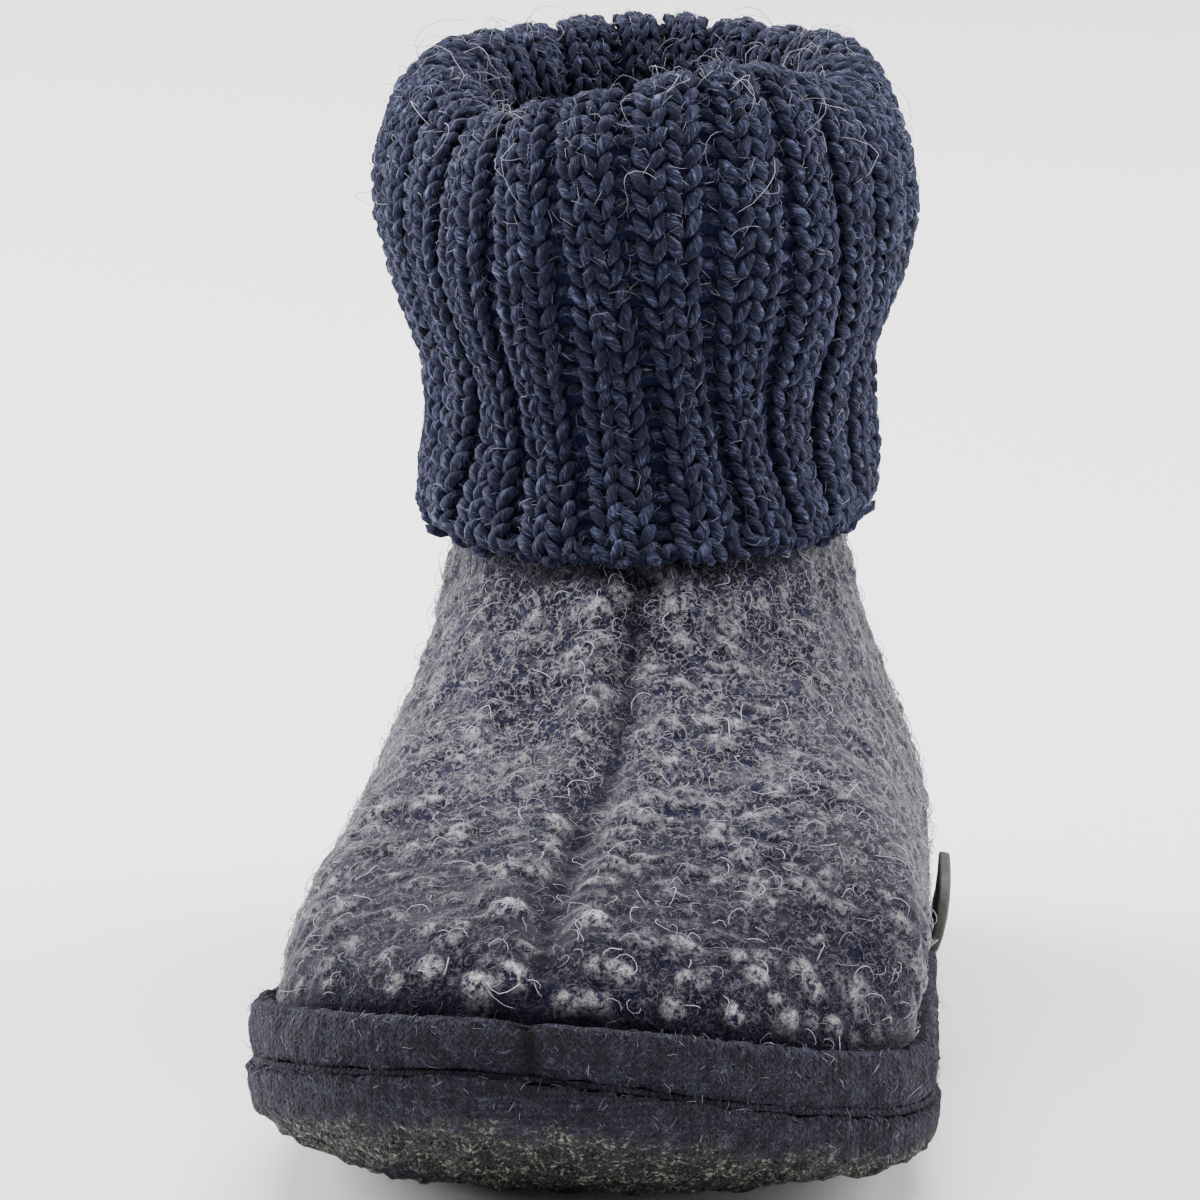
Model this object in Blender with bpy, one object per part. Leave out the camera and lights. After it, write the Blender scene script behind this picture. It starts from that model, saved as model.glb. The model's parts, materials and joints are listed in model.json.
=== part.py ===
"""A child's wool slipper boot for the left foot, modelled at its real size.

Metres, +Z up, the toe towards -Y and the outer side of the foot towards +X.
The origin is on the floor, under the middle of the heel seat.

Points are first worked out on a flat sole as (x, along, z), where along is the
distance from the back of the heel. The function placed() then gives them the
toe spring, the arch and the inward swing of the forefoot, and turns them to
the part's own frame, so that every piece bends in the same way.
"""

import math
from bisect import bisect_right
from collections import namedtuple

import bmesh
import bpy
from mathutils import Vector

# Clearance between touching pieces
GAP = 0.0003

# Sole outline
SHOE_LENGTH = 0.168
BALL_WIDTH = 0.0665
WAIST_WIDTH = 0.0605
HEEL_WIDTH = 0.0550
TOE_WIDTH = 0.0632
TOE_RADIUS = 0.0345
HEEL_RADIUS = 0.0260
HEEL_SEAT = 0.0280

# How the sole bends
TOE_SPRING = 0.0138
TOE_SPRING_LENGTH = 0.040
TOE_SPRING_SKEW = 0.16
TOE_SWING = 0.0034
SIDE_RISE_LATERAL = 0.0027
SIDE_RISE_MEDIAL = 0.0108
SIDE_FLAT = 0.0080
SIDE_CENTRE = -0.0060
ARCH_RISE = 0.0008
ARCH_LENGTH = 0.052

# Knitted sole cup, its underside coated with latex
SOLE_THICKNESS = 0.0032
ROLL_HEIGHT = 0.0057
ROLL_WALL = 0.0026
SOLE_EDGE_RADIUS = 0.0060

# Knitted rand above the roll
RAND_TOP = 0.0121
RAND_WALL = 0.0020

# Boiled wool upper
UPPER_WALL = 0.0025
COLLAR_HEIGHT = 0.0592

# Felt insole
INSOLE_THICKNESS = 0.0030

# Rib-knit cuff, folded over to the outside
CUFF_TOP = 0.0990
CUFF_TOP_SLOPE = 0.0018
HEM_HEIGHT = 0.0495
HEM_SLOPE = 0.0034
HEM_FLARE = 0.0042
CUFF_WIDTH = 0.0576
CUFF_LENGTH = 0.0780
OPENING_WIDTH = 0.0300
OPENING_LENGTH = 0.0450
KNIT_THICKNESS = 0.0027
RIB_COUNT = 24
RIB_DEPTH = 0.0011

# Bare leather tab on the outer side
TAB_LENGTH = 0.0140
TAB_HEIGHT = 0.0080
TAB_THICKNESS = 0.0012
TAB_ALONG = 0.0800
TAB_ABOVE_RAND = 0.0012

# Fineness of the faceted solids
SOLE_SIDES = 60
CAP_COLUMNS = 7
UPPER_LEVELS_PER_ROW = (1, 2, 2, 1, 1, 1, 1, 1, 1)
POINTS_PER_RIB = 3
TAB_COLUMNS = 8
TAB_ROWS = 4

# Half-widths of the sole outline, as shares of a named width
SoleRow = namedtuple("SoleRow", "along width lateral medial")
SOLE_ROWS = (
    SoleRow(along=0.16, width=HEEL_WIDTH, lateral=0.50, medial=0.50),
    SoleRow(along=0.43, width=WAIST_WIDTH, lateral=0.54, medial=0.46),
    SoleRow(along=0.70, width=BALL_WIDTH, lateral=0.523, medial=0.477),
    SoleRow(along=0.88, width=TOE_WIDTH, lateral=0.54, medial=0.46),
)

# Rings of the upper from the top of the rand to the collar. Front and back are
# shares of the feather line's length from its heel, front_rise and back_rise
# are shares of the way from the rand to the collar, lateral and medial are
# shares of the feather line's half-widths, and oval tells how far the ring has
# turned from the sole's outline to an ellipse.
UpperRow = namedtuple(
    "UpperRow", "front front_rise back back_rise lateral medial oval"
)
UPPER_ROWS = (
    UpperRow(1.000, 0.00, 0.000, 0.00, 1.000, 1.000, 0.00),
    UpperRow(0.985, 0.12, -0.003, 0.09, 1.045, 0.990, 0.03),
    UpperRow(0.945, 0.25, 0.000, 0.18, 1.045, 0.965, 0.10),
    UpperRow(0.880, 0.37, 0.005, 0.29, 0.995, 0.915, 0.25),
    UpperRow(0.770, 0.48, 0.013, 0.42, 0.880, 0.850, 0.45),
    UpperRow(0.660, 0.57, 0.021, 0.55, 0.770, 0.765, 0.65),
    UpperRow(0.562, 0.69, 0.028, 0.70, 0.682, 0.703, 0.80),
    UpperRow(0.488, 0.83, 0.033, 0.85, 0.625, 0.672, 0.93),
    UpperRow(0.450, 1.00, 0.036, 1.00, 0.608, 0.668, 1.00),
)

# Middle of the cuff's fabric, from the hem up the outside, over the fold and
# down the inside. Each ring lies a share of the way between two named loops,
# one share for the outer side of the foot and one for the inner side, at a
# height that is a share of the way from the hem to the top.
CuffRow = namedtuple("CuffRow", "start end lateral medial height")
CUFF_ROWS = (
    CuffRow("ankle", "flare", 0.06, 0.20, 0.025),
    CuffRow("ankle", "flare", 0.15, 0.38, 0.11),
    CuffRow("ankle", "flare", 0.03, 0.16, 0.23),
    CuffRow("ankle", "bulge", 0.08, 0.14, 0.36),
    CuffRow("ankle", "bulge", 0.75, 0.70, 0.52),
    CuffRow("ankle", "bulge", 1.00, 1.00, 0.66),
    CuffRow("bulge", "opening", 0.04, 0.04, 0.78),
    CuffRow("bulge", "opening", 0.20, 0.20, 0.89),
    CuffRow("bulge", "opening", 0.46, 0.46, 0.955),
    CuffRow("bulge", "opening", 0.74, 0.74, 0.95),
    CuffRow("bulge", "opening", 0.93, 0.93, 0.88),
    CuffRow("opening", "seam", 0.00, 0.00, 0.76),
    CuffRow("opening", "seam", 0.25, 0.25, 0.60),
    CuffRow("opening", "seam", 0.60, 0.60, 0.42),
    CuffRow("opening", "seam", 1.00, 1.00, None),
)

Loop = namedtuple("Loop", "front back lateral medial")

UPPER_INSET = ROLL_WALL + GAP
FEATHER_HEIGHT = SOLE_THICKNESS + 2 * GAP
SMALL_TURN = 1e-4


def mixed(low, high, share):
    return low + (high - low) * share


def smooth(keys, values, at):
    """Reads a smooth curve that passes through the values at the rising keys."""
    last = len(keys) - 1
    start = min(max(bisect_right(keys, at) - 1, 0), last - 1)
    width = keys[start + 1] - keys[start]
    t = (at - keys[start]) / width

    def slope(i):
        after, before = min(i + 1, last), max(i - 1, 0)
        return (values[after] - values[before]) / (keys[after] - keys[before])

    rise_in, rise_out = slope(start) * width, slope(start + 1) * width
    return (
        values[start] * (1 + 2 * t) * (1 - t) ** 2
        + rise_in * t * (1 - t) ** 2
        + values[start + 1] * t * t * (3 - 2 * t)
        + rise_out * t * t * (t - 1)
    )


def smooth_step(share):
    share = min(max(share, 0.0), 1.0)
    return share * share * (3 - 2 * share)


def side_rise(x, along):
    """How far the sides of the forefoot stand off the floor."""
    off = x - SIDE_CENTRE
    rise = SIDE_RISE_LATERAL if off >= 0 else SIDE_RISE_MEDIAL
    outside = max(abs(off) - SIDE_FLAT, 0.0) / (BALL_WIDTH / 2 - SIDE_FLAT)
    return rise * outside**1.5 * smooth_step((along / SHOE_LENGTH - 0.5) / 0.3)


def placed(x, along, z):
    """Bends a point of the flat shoe with its sole, into the part's frame."""
    forward = along - TOE_SPRING_SKEW * x - (SHOE_LENGTH - TOE_SPRING_LENGTH)
    spring = TOE_SPRING * (max(forward, 0.0) / TOE_SPRING_LENGTH) ** 2
    spring += side_rise(x, along)
    from_waist = (along / SHOE_LENGTH - SOLE_ROWS[1].along) * SHOE_LENGTH
    hollow = math.cos(math.pi * min(abs(from_waist) / ARCH_LENGTH, 0.5)) ** 2
    arch = ARCH_RISE * hollow * smooth_step(-2 * x / WAIST_WIDTH)
    front_half = max(along / SHOE_LENGTH - 0.5, 0.0) / 0.5
    swing = TOE_SWING * front_half**2
    return Vector((x - swing, HEEL_SEAT - along, z + spring + arch))


# Sole outline


def end_fullness(radius):
    """Width per sine of the turn that gives an end of the outline this radius."""
    return math.sqrt(radius * SHOE_LENGTH / 2)


def outline_point(turn):
    """Point of the sole's outline as (x, along). Turn 0 is the toe, 0.25 the
    outer side, 0.5 the heel and 0.75 the inner side."""
    angle = 2 * math.pi * turn
    share = (1 + math.cos(angle)) / 2
    side = "lateral" if math.sin(angle) >= 0 else "medial"
    keys = [0.0] + [row.along for row in SOLE_ROWS] + [1.0]
    halves = [
        row.width * getattr(row, side) / (2 * math.sqrt(row.along * (1 - row.along)))
        for row in SOLE_ROWS
    ]
    fullness = [end_fullness(HEEL_RADIUS)] + halves + [end_fullness(TOE_RADIUS)]
    return math.sin(angle) * smooth(keys, fullness, share), SHOE_LENGTH * share


def inset_point(turn, inset):
    """Point of the outline moved inwards, square to it."""
    x, along = outline_point(turn)
    x0, along0 = outline_point(turn - SMALL_TURN)
    x1, along1 = outline_point(turn + SMALL_TURN)
    run = math.hypot(x1 - x0, along1 - along0)
    return x + inset * (along1 - along0) / run, along - inset * (x1 - x0) / run


def turns(count):
    return [i / count for i in range(count)]


def outline_ring(inset, height):
    return [(*inset_point(turn, inset), height) for turn in turns(SOLE_SIDES)]


def feather_extent():
    """Reach of the line where the upper's outer face meets the sole."""
    points = [inset_point(turn, UPPER_INSET) for turn in turns(8 * SOLE_SIDES)]
    return Loop(
        front=max(along for _, along in points),
        back=min(along for _, along in points),
        lateral=max(x for x, _ in points),
        medial=-min(x for x, _ in points),
    )


FEATHER = feather_extent()


# Upper


def upper_row(level):
    """The ring table's values at a level, where level 1 is the rand's top edge."""
    keys = list(range(1, len(UPPER_ROWS) + 1))
    return UpperRow(*(smooth(keys, column, level) for column in zip(*UPPER_ROWS)))


def upper_point(level, turn):
    """Point of the upper's outer face. From level 0 to 1 it is the upright wall
    inside the sole and the rand, and the last level is the collar."""
    x, along = inset_point(turn, UPPER_INSET)
    if level <= 1:
        return Vector((x, along, mixed(FEATHER_HEIGHT, RAND_TOP, level)))
    row = upper_row(level)
    angle = 2 * math.pi * turn
    outer = x >= 0
    half = FEATHER.lateral if outer else FEATHER.medial
    reach = FEATHER.front - FEATHER.back
    share = mixed((along - FEATHER.back) / reach, (1 + math.cos(angle)) / 2, row.oval)
    fullness = mixed(abs(x) / half, abs(math.sin(angle)), row.oval)
    half *= row.lateral if outer else row.medial
    rise = mixed(row.back_rise, row.front_rise, share)
    return Vector((
        math.copysign(half * fullness, x),
        FEATHER.back + reach * mixed(row.back, row.front, share),
        mixed(RAND_TOP, COLLAR_HEIGHT, rise),
    ))


def level_at_height(height, turn):
    """Level at which the upper's outer face reaches this height."""
    low, high = 1.0, float(len(UPPER_ROWS))
    for _ in range(40):
        middle = (low + high) / 2
        if upper_point(middle, turn).z < height:
            low = middle
        else:
            high = middle
    return (low + high) / 2


def upper_levels():
    levels = [0.0]
    for row, count in enumerate(UPPER_LEVELS_PER_ROW):
        levels += [row + (i + 1) / count for i in range(count)]
    return levels


def upper_loop(height):
    """Reach of the upper's outer face at one height, or of its collar above."""
    height = min(max(height, RAND_TOP), COLLAR_HEIGHT)
    rise = (height - RAND_TOP) / (COLLAR_HEIGHT - RAND_TOP)
    fine = [1 + i * (len(UPPER_ROWS) - 1) / 80 for i in range(81)]
    rows = [upper_row(level) for level in fine]
    reach = FEATHER.front - FEATHER.back
    front = next(r.front for r in rows if r.front_rise >= rise - 1e-6)
    behind = next(r for r in rows if r.back_rise >= rise - 1e-6)
    return Loop(
        front=FEATHER.back + reach * front,
        back=FEATHER.back + reach * behind.back,
        lateral=FEATHER.lateral * behind.lateral,
        medial=FEATHER.medial * behind.medial,
    )


# Meshes


def grid_normals(rings):
    """Unit normals of a tube of rings that all have the same number of points."""
    count = len(rings[0])
    normals = []
    for i, ring in enumerate(rings):
        above, below = rings[min(i + 1, len(rings) - 1)], rings[max(i - 1, 0)]
        normals.append([
            (ring[(j + 1) % count] - ring[j - 1]).cross(above[j] - below[j]).normalized()
            for j in range(count)
        ])
    return normals


def moved(rings, distance, level_ends=True):
    """The rings moved along their normals. Level ends keep their own height."""
    result = [
        [point + normal * distance for point, normal in zip(ring, normals)]
        for ring, normals in zip(rings, grid_normals(rings))
    ]
    if level_ends:
        for end in (0, -1):
            for point, old in zip(result[end], rings[end]):
                point.z = old.z
    return result


def band_faces(first, second):
    """Quads between two rings of vertex numbers."""
    count = len(first)
    return [
        (first[j], first[(j + 1) % count], second[(j + 1) % count], second[j])
        for j in range(count)
    ]


def add_object(name, points, faces, colour, roughness, smooth_angle):
    mesh = bpy.data.meshes.new(name)
    mesh.from_pydata([placed(*point) for point in points], [], faces)
    build = bmesh.new()
    build.from_mesh(mesh)
    bmesh.ops.triangulate(build, faces=build.faces)
    bmesh.ops.recalc_face_normals(build, faces=build.faces)
    build.to_mesh(mesh)
    build.free()
    mesh.shade_smooth()
    mesh.set_sharp_from_angle(angle=math.radians(smooth_angle))
    material = bpy.data.materials.new(name + "_finish")
    material.use_nodes = True
    surface = material.node_tree.nodes["Principled BSDF"]
    surface.inputs["Base Color"].default_value = (*colour, 1.0)
    surface.inputs["Roughness"].default_value = roughness
    surface.inputs["Metallic"].default_value = 0.0
    mesh.materials.append(material)
    thing = bpy.data.objects.new(name, mesh)
    bpy.context.scene.collection.objects.link(thing)
    return thing


def closed_band(rings):
    """Points and faces of a solid whose rings run round its section."""
    points = [point for ring in rings for point in ring]
    count = len(rings[0])
    numbers = [range(i * count, (i + 1) * count) for i in range(len(rings))]
    faces = []
    for i, ring in enumerate(numbers):
        faces += band_faces(ring, numbers[(i + 1) % len(numbers)])
    return points, faces


def cap(points, ring):
    """Closes a ring of the sole with rows of quads across the foot, so that the
    cap can bend. New points are added to the list, and the faces are given."""
    half = len(ring) // 2
    rows = []
    for i in range(1, half):
        left, right = Vector(points[ring[i]]), Vector(points[ring[-i]])
        row = [ring[i]]
        for column in range(1, CAP_COLUMNS):
            points.append(tuple(left.lerp(right, column / CAP_COLUMNS)))
            row.append(len(points) - 1)
        rows.append(row + [ring[-i]])
    faces = []
    for near, far in zip(rows, rows[1:]):
        faces += [
            (near[c], near[c + 1], far[c + 1], far[c]) for c in range(CAP_COLUMNS)
        ]
    for tip, row in ((ring[0], rows[0]), (ring[half], rows[-1])):
        faces += [(tip, row[c], row[c + 1]) for c in range(CAP_COLUMNS)]
    return faces


def capped_stack(rings):
    """Points and faces of a solid with rings up its side and a cap at each end."""
    points = [point for ring in rings for point in ring]
    count = len(rings[0])
    numbers = [list(range(i * count, (i + 1) * count)) for i in range(len(rings))]
    faces = []
    for lower, upper in zip(numbers, numbers[1:]):
        faces += band_faces(lower, upper)
    faces += cap(points, numbers[0])
    faces += cap(points, numbers[-1])
    return points, faces


# Pieces


def make_outsole():
    """Tray of the knitted sole: the flat underside, its rounded edge and the
    roll that stands round the foot of the upper."""
    edge = SOLE_EDGE_RADIUS
    middle = mixed(SOLE_THICKNESS, ROLL_HEIGHT, 0.35)
    profile = (
        (edge, 0.0),
        (edge * 0.42, middle * 0.13),
        (edge * 0.10, middle * 0.50),
        (0.0, middle),
        (ROLL_WALL * 0.14, mixed(middle, ROLL_HEIGHT, 0.66)),
        (ROLL_WALL * 0.55, ROLL_HEIGHT),
        (ROLL_WALL, mixed(middle, ROLL_HEIGHT, 0.80)),
        (ROLL_WALL, SOLE_THICKNESS),
    )
    rings = [outline_ring(inset, height) for inset, height in profile]
    return add_object("outsole", *capped_stack(rings), (0.020, 0.021, 0.024), 0.75, 60)


def make_rand():
    """Knitted band that stands on the roll, outside the upper."""
    foot = ROLL_HEIGHT + GAP
    inner = UPPER_INSET - GAP
    outer = inner - RAND_WALL
    profile = (
        (inner, foot),
        (mixed(outer, inner, 0.40), foot),
        (outer, mixed(foot, RAND_TOP, 0.22)),
        (outer, mixed(foot, RAND_TOP, 0.66)),
        (mixed(outer, inner, 0.32), mixed(foot, RAND_TOP, 0.94)),
        (mixed(outer, inner, 0.62), RAND_TOP),
        (inner, RAND_TOP),
    )
    rings = [outline_ring(inset, height) for inset, height in profile]
    return add_object("rand", *closed_band(rings), (0.024, 0.025, 0.038), 0.95, 60)


def make_insole():
    """Felt footbed that lies on the sole, inside the foot of the upper."""
    edge = UPPER_INSET + UPPER_WALL + GAP
    low = SOLE_THICKNESS + 2 * GAP
    top = low + INSOLE_THICKNESS
    profile = (
        (edge, low),
        (edge, mixed(low, top, 0.75)),
        (edge + INSOLE_THICKNESS * 0.3, top),
    )
    rings = [outline_ring(inset, height) for inset, height in profile]
    return add_object("insole", *capped_stack(rings), (0.075, 0.075, 0.095), 0.95, 50)


def make_upper():
    """Hollow boot of boiled wool, open at the collar and underneath."""
    outer = [
        [upper_point(level, turn) for turn in turns(SOLE_SIDES)]
        for level in upper_levels()
    ]
    inner = moved(outer, UPPER_WALL)
    points, faces = closed_band(outer + inner[::-1])
    return add_object("upper", points, faces, (0.130, 0.130, 0.170), 1.0, 75)


def loop_point(loop, turn):
    """Point of an oval with its own reach to each side, as (x, along)."""
    angle = 2 * math.pi * turn
    x, forward = math.sin(angle), math.cos(angle)
    middle = (loop.front + loop.back) / 2
    x *= loop.lateral if x >= 0 else loop.medial
    return x, middle + forward * (loop.front - loop.back) / 2


def grown(loop, distance):
    return Loop(
        loop.front + distance,
        loop.back - distance,
        loop.lateral + distance,
        loop.medial + distance,
    )


def centred_loop(length, width):
    """An oval of this size round the middle of the collar."""
    collar = upper_loop(COLLAR_HEIGHT)
    middle = (collar.front + collar.back) / 2
    return Loop(middle + length / 2, middle - length / 2, width / 2, width / 2)


def upper_normal(level, turn):
    """Outward normal of the upper's outer face."""
    step = 0.02
    up = upper_point(min(level + step, len(UPPER_ROWS)), turn)
    down = upper_point(max(level - step, 1.0), turn)
    onward = upper_point(level, turn + step / 10)
    before = upper_point(level, turn - step / 10)
    return (up - down).cross(onward - before).normalized()


def ankle_point(height, turn, distance):
    """Point this far off the upper's outer face, measured from the place where
    that face has the height. Above the collar it follows the collar straight up."""
    reached = min(height, COLLAR_HEIGHT)
    level = level_at_height(reached, turn)
    point = upper_point(level, turn) + upper_normal(level, turn) * distance
    point.z += height - reached
    return point


def cuff_point(name, height, turn):
    """Point of one of the named loops of the middle of the cuff's fabric."""
    half = KNIT_THICKNESS / 2
    if name == "ankle":
        return ankle_point(height, turn, half + 2 * GAP)
    if name == "flare":
        return ankle_point(height, turn, half + 2 * GAP + HEM_FLARE)
    if name == "bulge":
        loop = grown(centred_loop(CUFF_LENGTH, CUFF_WIDTH), -half)
    elif name == "opening":
        loop = grown(centred_loop(OPENING_LENGTH, OPENING_WIDTH), half)
    else:
        loop = grown(upper_loop(COLLAR_HEIGHT), -UPPER_WALL / 2)
    return Vector((*loop_point(loop, turn), height))


def cuff_rings():
    """Rings along the middle of the cuff's fabric, from the hem to the seam."""
    rings = []
    for row in CUFF_ROWS:
        ring = []
        for turn in turns(RIB_COUNT * POINTS_PER_RIB):
            outwards = (1 + math.sin(2 * math.pi * turn)) / 2
            backwards = (1 - math.cos(2 * math.pi * turn)) / 2
            share = mixed(row.medial, row.lateral, outwards)
            height = COLLAR_HEIGHT + GAP
            if row.height is not None:
                hem = HEM_HEIGHT + HEM_SLOPE * backwards
                top = CUFF_TOP + CUFF_TOP_SLOPE * backwards
                height = mixed(hem, top, row.height)
            start = cuff_point(row.start, height, turn)
            ring.append(start.lerp(cuff_point(row.end, height, turn), share))
        rings.append(ring)
    return rings


def make_cuff():
    """Rib-knit tube folded over on itself: the inner leg stands on the collar,
    and the outer leg hangs down over it. Its shown face has the ribs, with two
    points on each ridge and one in each furrow."""
    middle = cuff_rings()
    hidden = moved(middle, KNIT_THICKNESS / 2)
    shown = moved(middle, -KNIT_THICKNESS / 2)
    furrows = moved(middle, RIB_DEPTH - KNIT_THICKNESS / 2)
    for ring, furrow_ring in zip(shown, furrows):
        for j in range(POINTS_PER_RIB - 1, len(ring), POINTS_PER_RIB):
            ring[j] = furrow_ring[j]
    points, faces = closed_band(shown + hidden[::-1])
    return add_object("cuff", points, faces, (0.018, 0.022, 0.048), 1.0, 75)


def outer_side_turn(along):
    """Turn at which the outer side of the upper lies this far along."""
    low, high = 0.02, 0.48
    for _ in range(40):
        middle = (low + high) / 2
        if upper_point(2, middle).y > along:
            low = middle
        else:
            high = middle
    return (low + high) / 2


def make_side_tab():
    """Leather patch that lies on the outer side of the upper, just above the
    rand, with rounded corners and a bare face."""
    back, front = TAB_ALONG - TAB_LENGTH / 2, TAB_ALONG + TAB_LENGTH / 2
    foot = RAND_TOP + TAB_ABOVE_RAND
    grid = []
    for row in range(TAB_ROWS + 1):
        line = []
        across = 2 * row / TAB_ROWS - 1
        for column in range(TAB_COLUMNS + 1):
            lengthwise = 2 * column / TAB_COLUMNS - 1
            narrow = 1 - 0.10 * abs(across) ** 4
            short = 1 - 0.16 * abs(lengthwise) ** 8
            along = mixed(back, front, (lengthwise * narrow + 1) / 2)
            height = foot + TAB_HEIGHT * (across * short + 1) / 2
            turn = outer_side_turn(along)
            line.append(upper_point(level_at_height(height, turn), turn))
        grid.append(line)
    normal = (grid[0][-1] - grid[0][0]).cross(grid[-1][0] - grid[0][0]).normalized()
    if normal.x < 0:
        normal.negate()
    inner = [[point + normal * 3 * GAP for point in line] for line in grid]
    outer = [[point + normal * TAB_THICKNESS for point in line] for line in inner]
    points = [point for line in inner + outer for point in line]
    wide, rows = TAB_COLUMNS + 1, TAB_ROWS + 1
    faces = []
    for side in (0, wide * rows):
        for r in range(TAB_ROWS):
            for c in range(TAB_COLUMNS):
                first = side + r * wide + c
                faces.append((first, first + 1, first + wide + 1, first + wide))
    rim = [c for c in range(TAB_COLUMNS)]
    rim += [r * wide + TAB_COLUMNS for r in range(TAB_ROWS)]
    rim += [TAB_ROWS * wide + c for c in range(TAB_COLUMNS, 0, -1)]
    rim += [r * wide for r in range(TAB_ROWS, 0, -1)]
    faces += band_faces(rim, [number + wide * rows for number in rim])
    return add_object("side_tab", points, faces, (0.075, 0.068, 0.055), 0.6, 40)


def main():
    for old in list(bpy.data.objects):
        bpy.data.objects.remove(old)
    make_outsole()
    make_rand()
    make_insole()
    make_upper()
    make_cuff()
    make_side_tab()


main()
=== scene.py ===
"""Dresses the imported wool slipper: yarn cuff, boiled wool upper, knitted rand and sole.

Laid out as a Blender add-on and run as a script. Metres, +Z up, the toe towards
-Y and the outer side of the left foot towards +X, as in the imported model.
"""

import json
import math
import random

import bmesh
import bpy
import numpy as np
from bpy.props import FloatProperty, FloatVectorProperty, IntProperty, PointerProperty
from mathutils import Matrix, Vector, kdtree, noise
from mathutils.bvhtree import BVHTree

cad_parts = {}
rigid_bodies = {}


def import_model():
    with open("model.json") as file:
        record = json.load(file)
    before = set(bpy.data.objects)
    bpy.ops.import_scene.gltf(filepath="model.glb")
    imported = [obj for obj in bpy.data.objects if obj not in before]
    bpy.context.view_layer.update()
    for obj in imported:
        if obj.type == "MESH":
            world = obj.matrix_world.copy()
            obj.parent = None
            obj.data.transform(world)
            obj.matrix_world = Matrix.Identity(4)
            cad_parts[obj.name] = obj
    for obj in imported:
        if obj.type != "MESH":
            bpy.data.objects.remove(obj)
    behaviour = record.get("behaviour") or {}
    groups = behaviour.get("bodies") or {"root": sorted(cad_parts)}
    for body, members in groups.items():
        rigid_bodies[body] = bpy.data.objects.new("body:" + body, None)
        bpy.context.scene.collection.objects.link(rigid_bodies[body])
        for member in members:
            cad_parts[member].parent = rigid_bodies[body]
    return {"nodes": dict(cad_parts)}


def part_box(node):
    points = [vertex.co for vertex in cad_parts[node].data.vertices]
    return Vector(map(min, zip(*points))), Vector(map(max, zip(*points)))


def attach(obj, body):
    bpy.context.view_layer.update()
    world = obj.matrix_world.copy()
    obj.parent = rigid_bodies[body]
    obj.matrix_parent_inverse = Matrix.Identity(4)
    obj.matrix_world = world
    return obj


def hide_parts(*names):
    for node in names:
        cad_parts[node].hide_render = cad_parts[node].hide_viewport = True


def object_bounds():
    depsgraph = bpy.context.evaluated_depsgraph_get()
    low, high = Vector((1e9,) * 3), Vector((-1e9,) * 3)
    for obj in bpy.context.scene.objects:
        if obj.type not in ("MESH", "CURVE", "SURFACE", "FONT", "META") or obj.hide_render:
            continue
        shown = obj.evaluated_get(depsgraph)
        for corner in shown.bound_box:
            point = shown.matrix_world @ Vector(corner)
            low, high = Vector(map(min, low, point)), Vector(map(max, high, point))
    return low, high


bl_info = {
    "name": "Wool slipper finish",
    "version": (1, 0, 0),
    "blender": (4, 5, 0),
    "location": "3D View > Sidebar > Slipper",
    "description": "Yarn, boiled wool, knit and felt for a child's wool slipper",
    "category": "Object",
}

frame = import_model()
CAD_LOW, CAD_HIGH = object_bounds()

MM = 0.001
UP = Vector((0.0, 0.0, 1.0))
BODY = "root"

# Seeds, one for each thing that is drawn at random
SEED_KNOTS = 11
SEED_STITCHES = 23
SEED_CURLS = 37
SEED_UPPER_NAP = 41
SEED_CUFF_NAP = 53
SEED_SOLE_NAP = 61

# The camera stands before the toe and a little above it
IMAGE_SIDE = 1200
FOCAL_PIXELS = 10712
CAMERA_AZIMUTH = 4.0
CAMERA_ELEVATION = 11.0
CAMERA_DISTANCE = 1.09
CAMERA_TARGET = Vector((-0.0014, -0.060, 0.0499))
SENSOR_WIDTH = 36.0

# Rays start this far from the middle of what they are aimed at
FAR = 0.15
# A ray along a surface's own normal starts this far out, past its unevenness
SKIP = 1.5 * MM
# What has another node this near before it doesn't show
COVERED = 6 * MM


# Numbers and colours


def mixed(low, high, share):
    return low + (high - low) * share


def eased(value, low, high):
    """Rises smoothly from 0 at low to 1 at high."""
    share = np.clip((np.asarray(value, float) - low) / (high - low), 0, 1)
    return share * share * (3 - 2 * share)


def linear(code):
    """Turns an sRGB hex colour into linear red, green, blue and alpha."""
    values = [int(code[i : i + 2], 16) / 255 for i in (1, 3, 5)]
    lin = [v / 12.92 if v <= 0.04045 else ((v + 0.055) / 1.055) ** 2.4 for v in values]
    return (*lin, 1.0)


def toned(colour, factor):
    """The same colour, lighter or darker."""
    return (*(min(1.0, v * factor) for v in colour[:3]), 1.0)


def roughness_at(points, size, seed, octaves=1):
    """Smooth noise from about -1 to 1 at each point; size is that of a patch."""
    shift = Vector((seed * 7.31, seed * 3.17, seed * 5.71))
    out = np.zeros(len(points))
    for i, point in enumerate(points):
        place = Vector(point) / size + shift
        out[i] = noise.fractal(place, 1.0, 2.0, octaves) if octaves > 1 else noise.noise(place)
    return out


# Nodes and meshes

# Settings that many nodes share
MULTIPLY = {"operation": "MULTIPLY"}
MULTIPLY_ADD = {"operation": "MULTIPLY_ADD"}
COLOURS = {"data_type": "RGBA"}


def add(tree, kind, settings=None, inputs=None, stops=None):
    """Adds a node with its settings, its inputs' values or links, and for a
    colour ramp its stops as (position, colour) pairs."""
    new = tree.nodes.new(kind)
    for name, value in (settings or {}).items():
        setattr(new, name, value)
    for key, value in (inputs or {}).items():
        if isinstance(value, bpy.types.NodeSocket):
            tree.links.new(value, new.inputs[key])
        else:
            new.inputs[key].default_value = value
    if stops:
        elements = new.color_ramp.elements
        while len(elements) < len(stops):
            elements.new(0.5)
        for element, (position, colour) in zip(elements, stops):
            element.position = position
            element.color = colour
    return new


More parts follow.
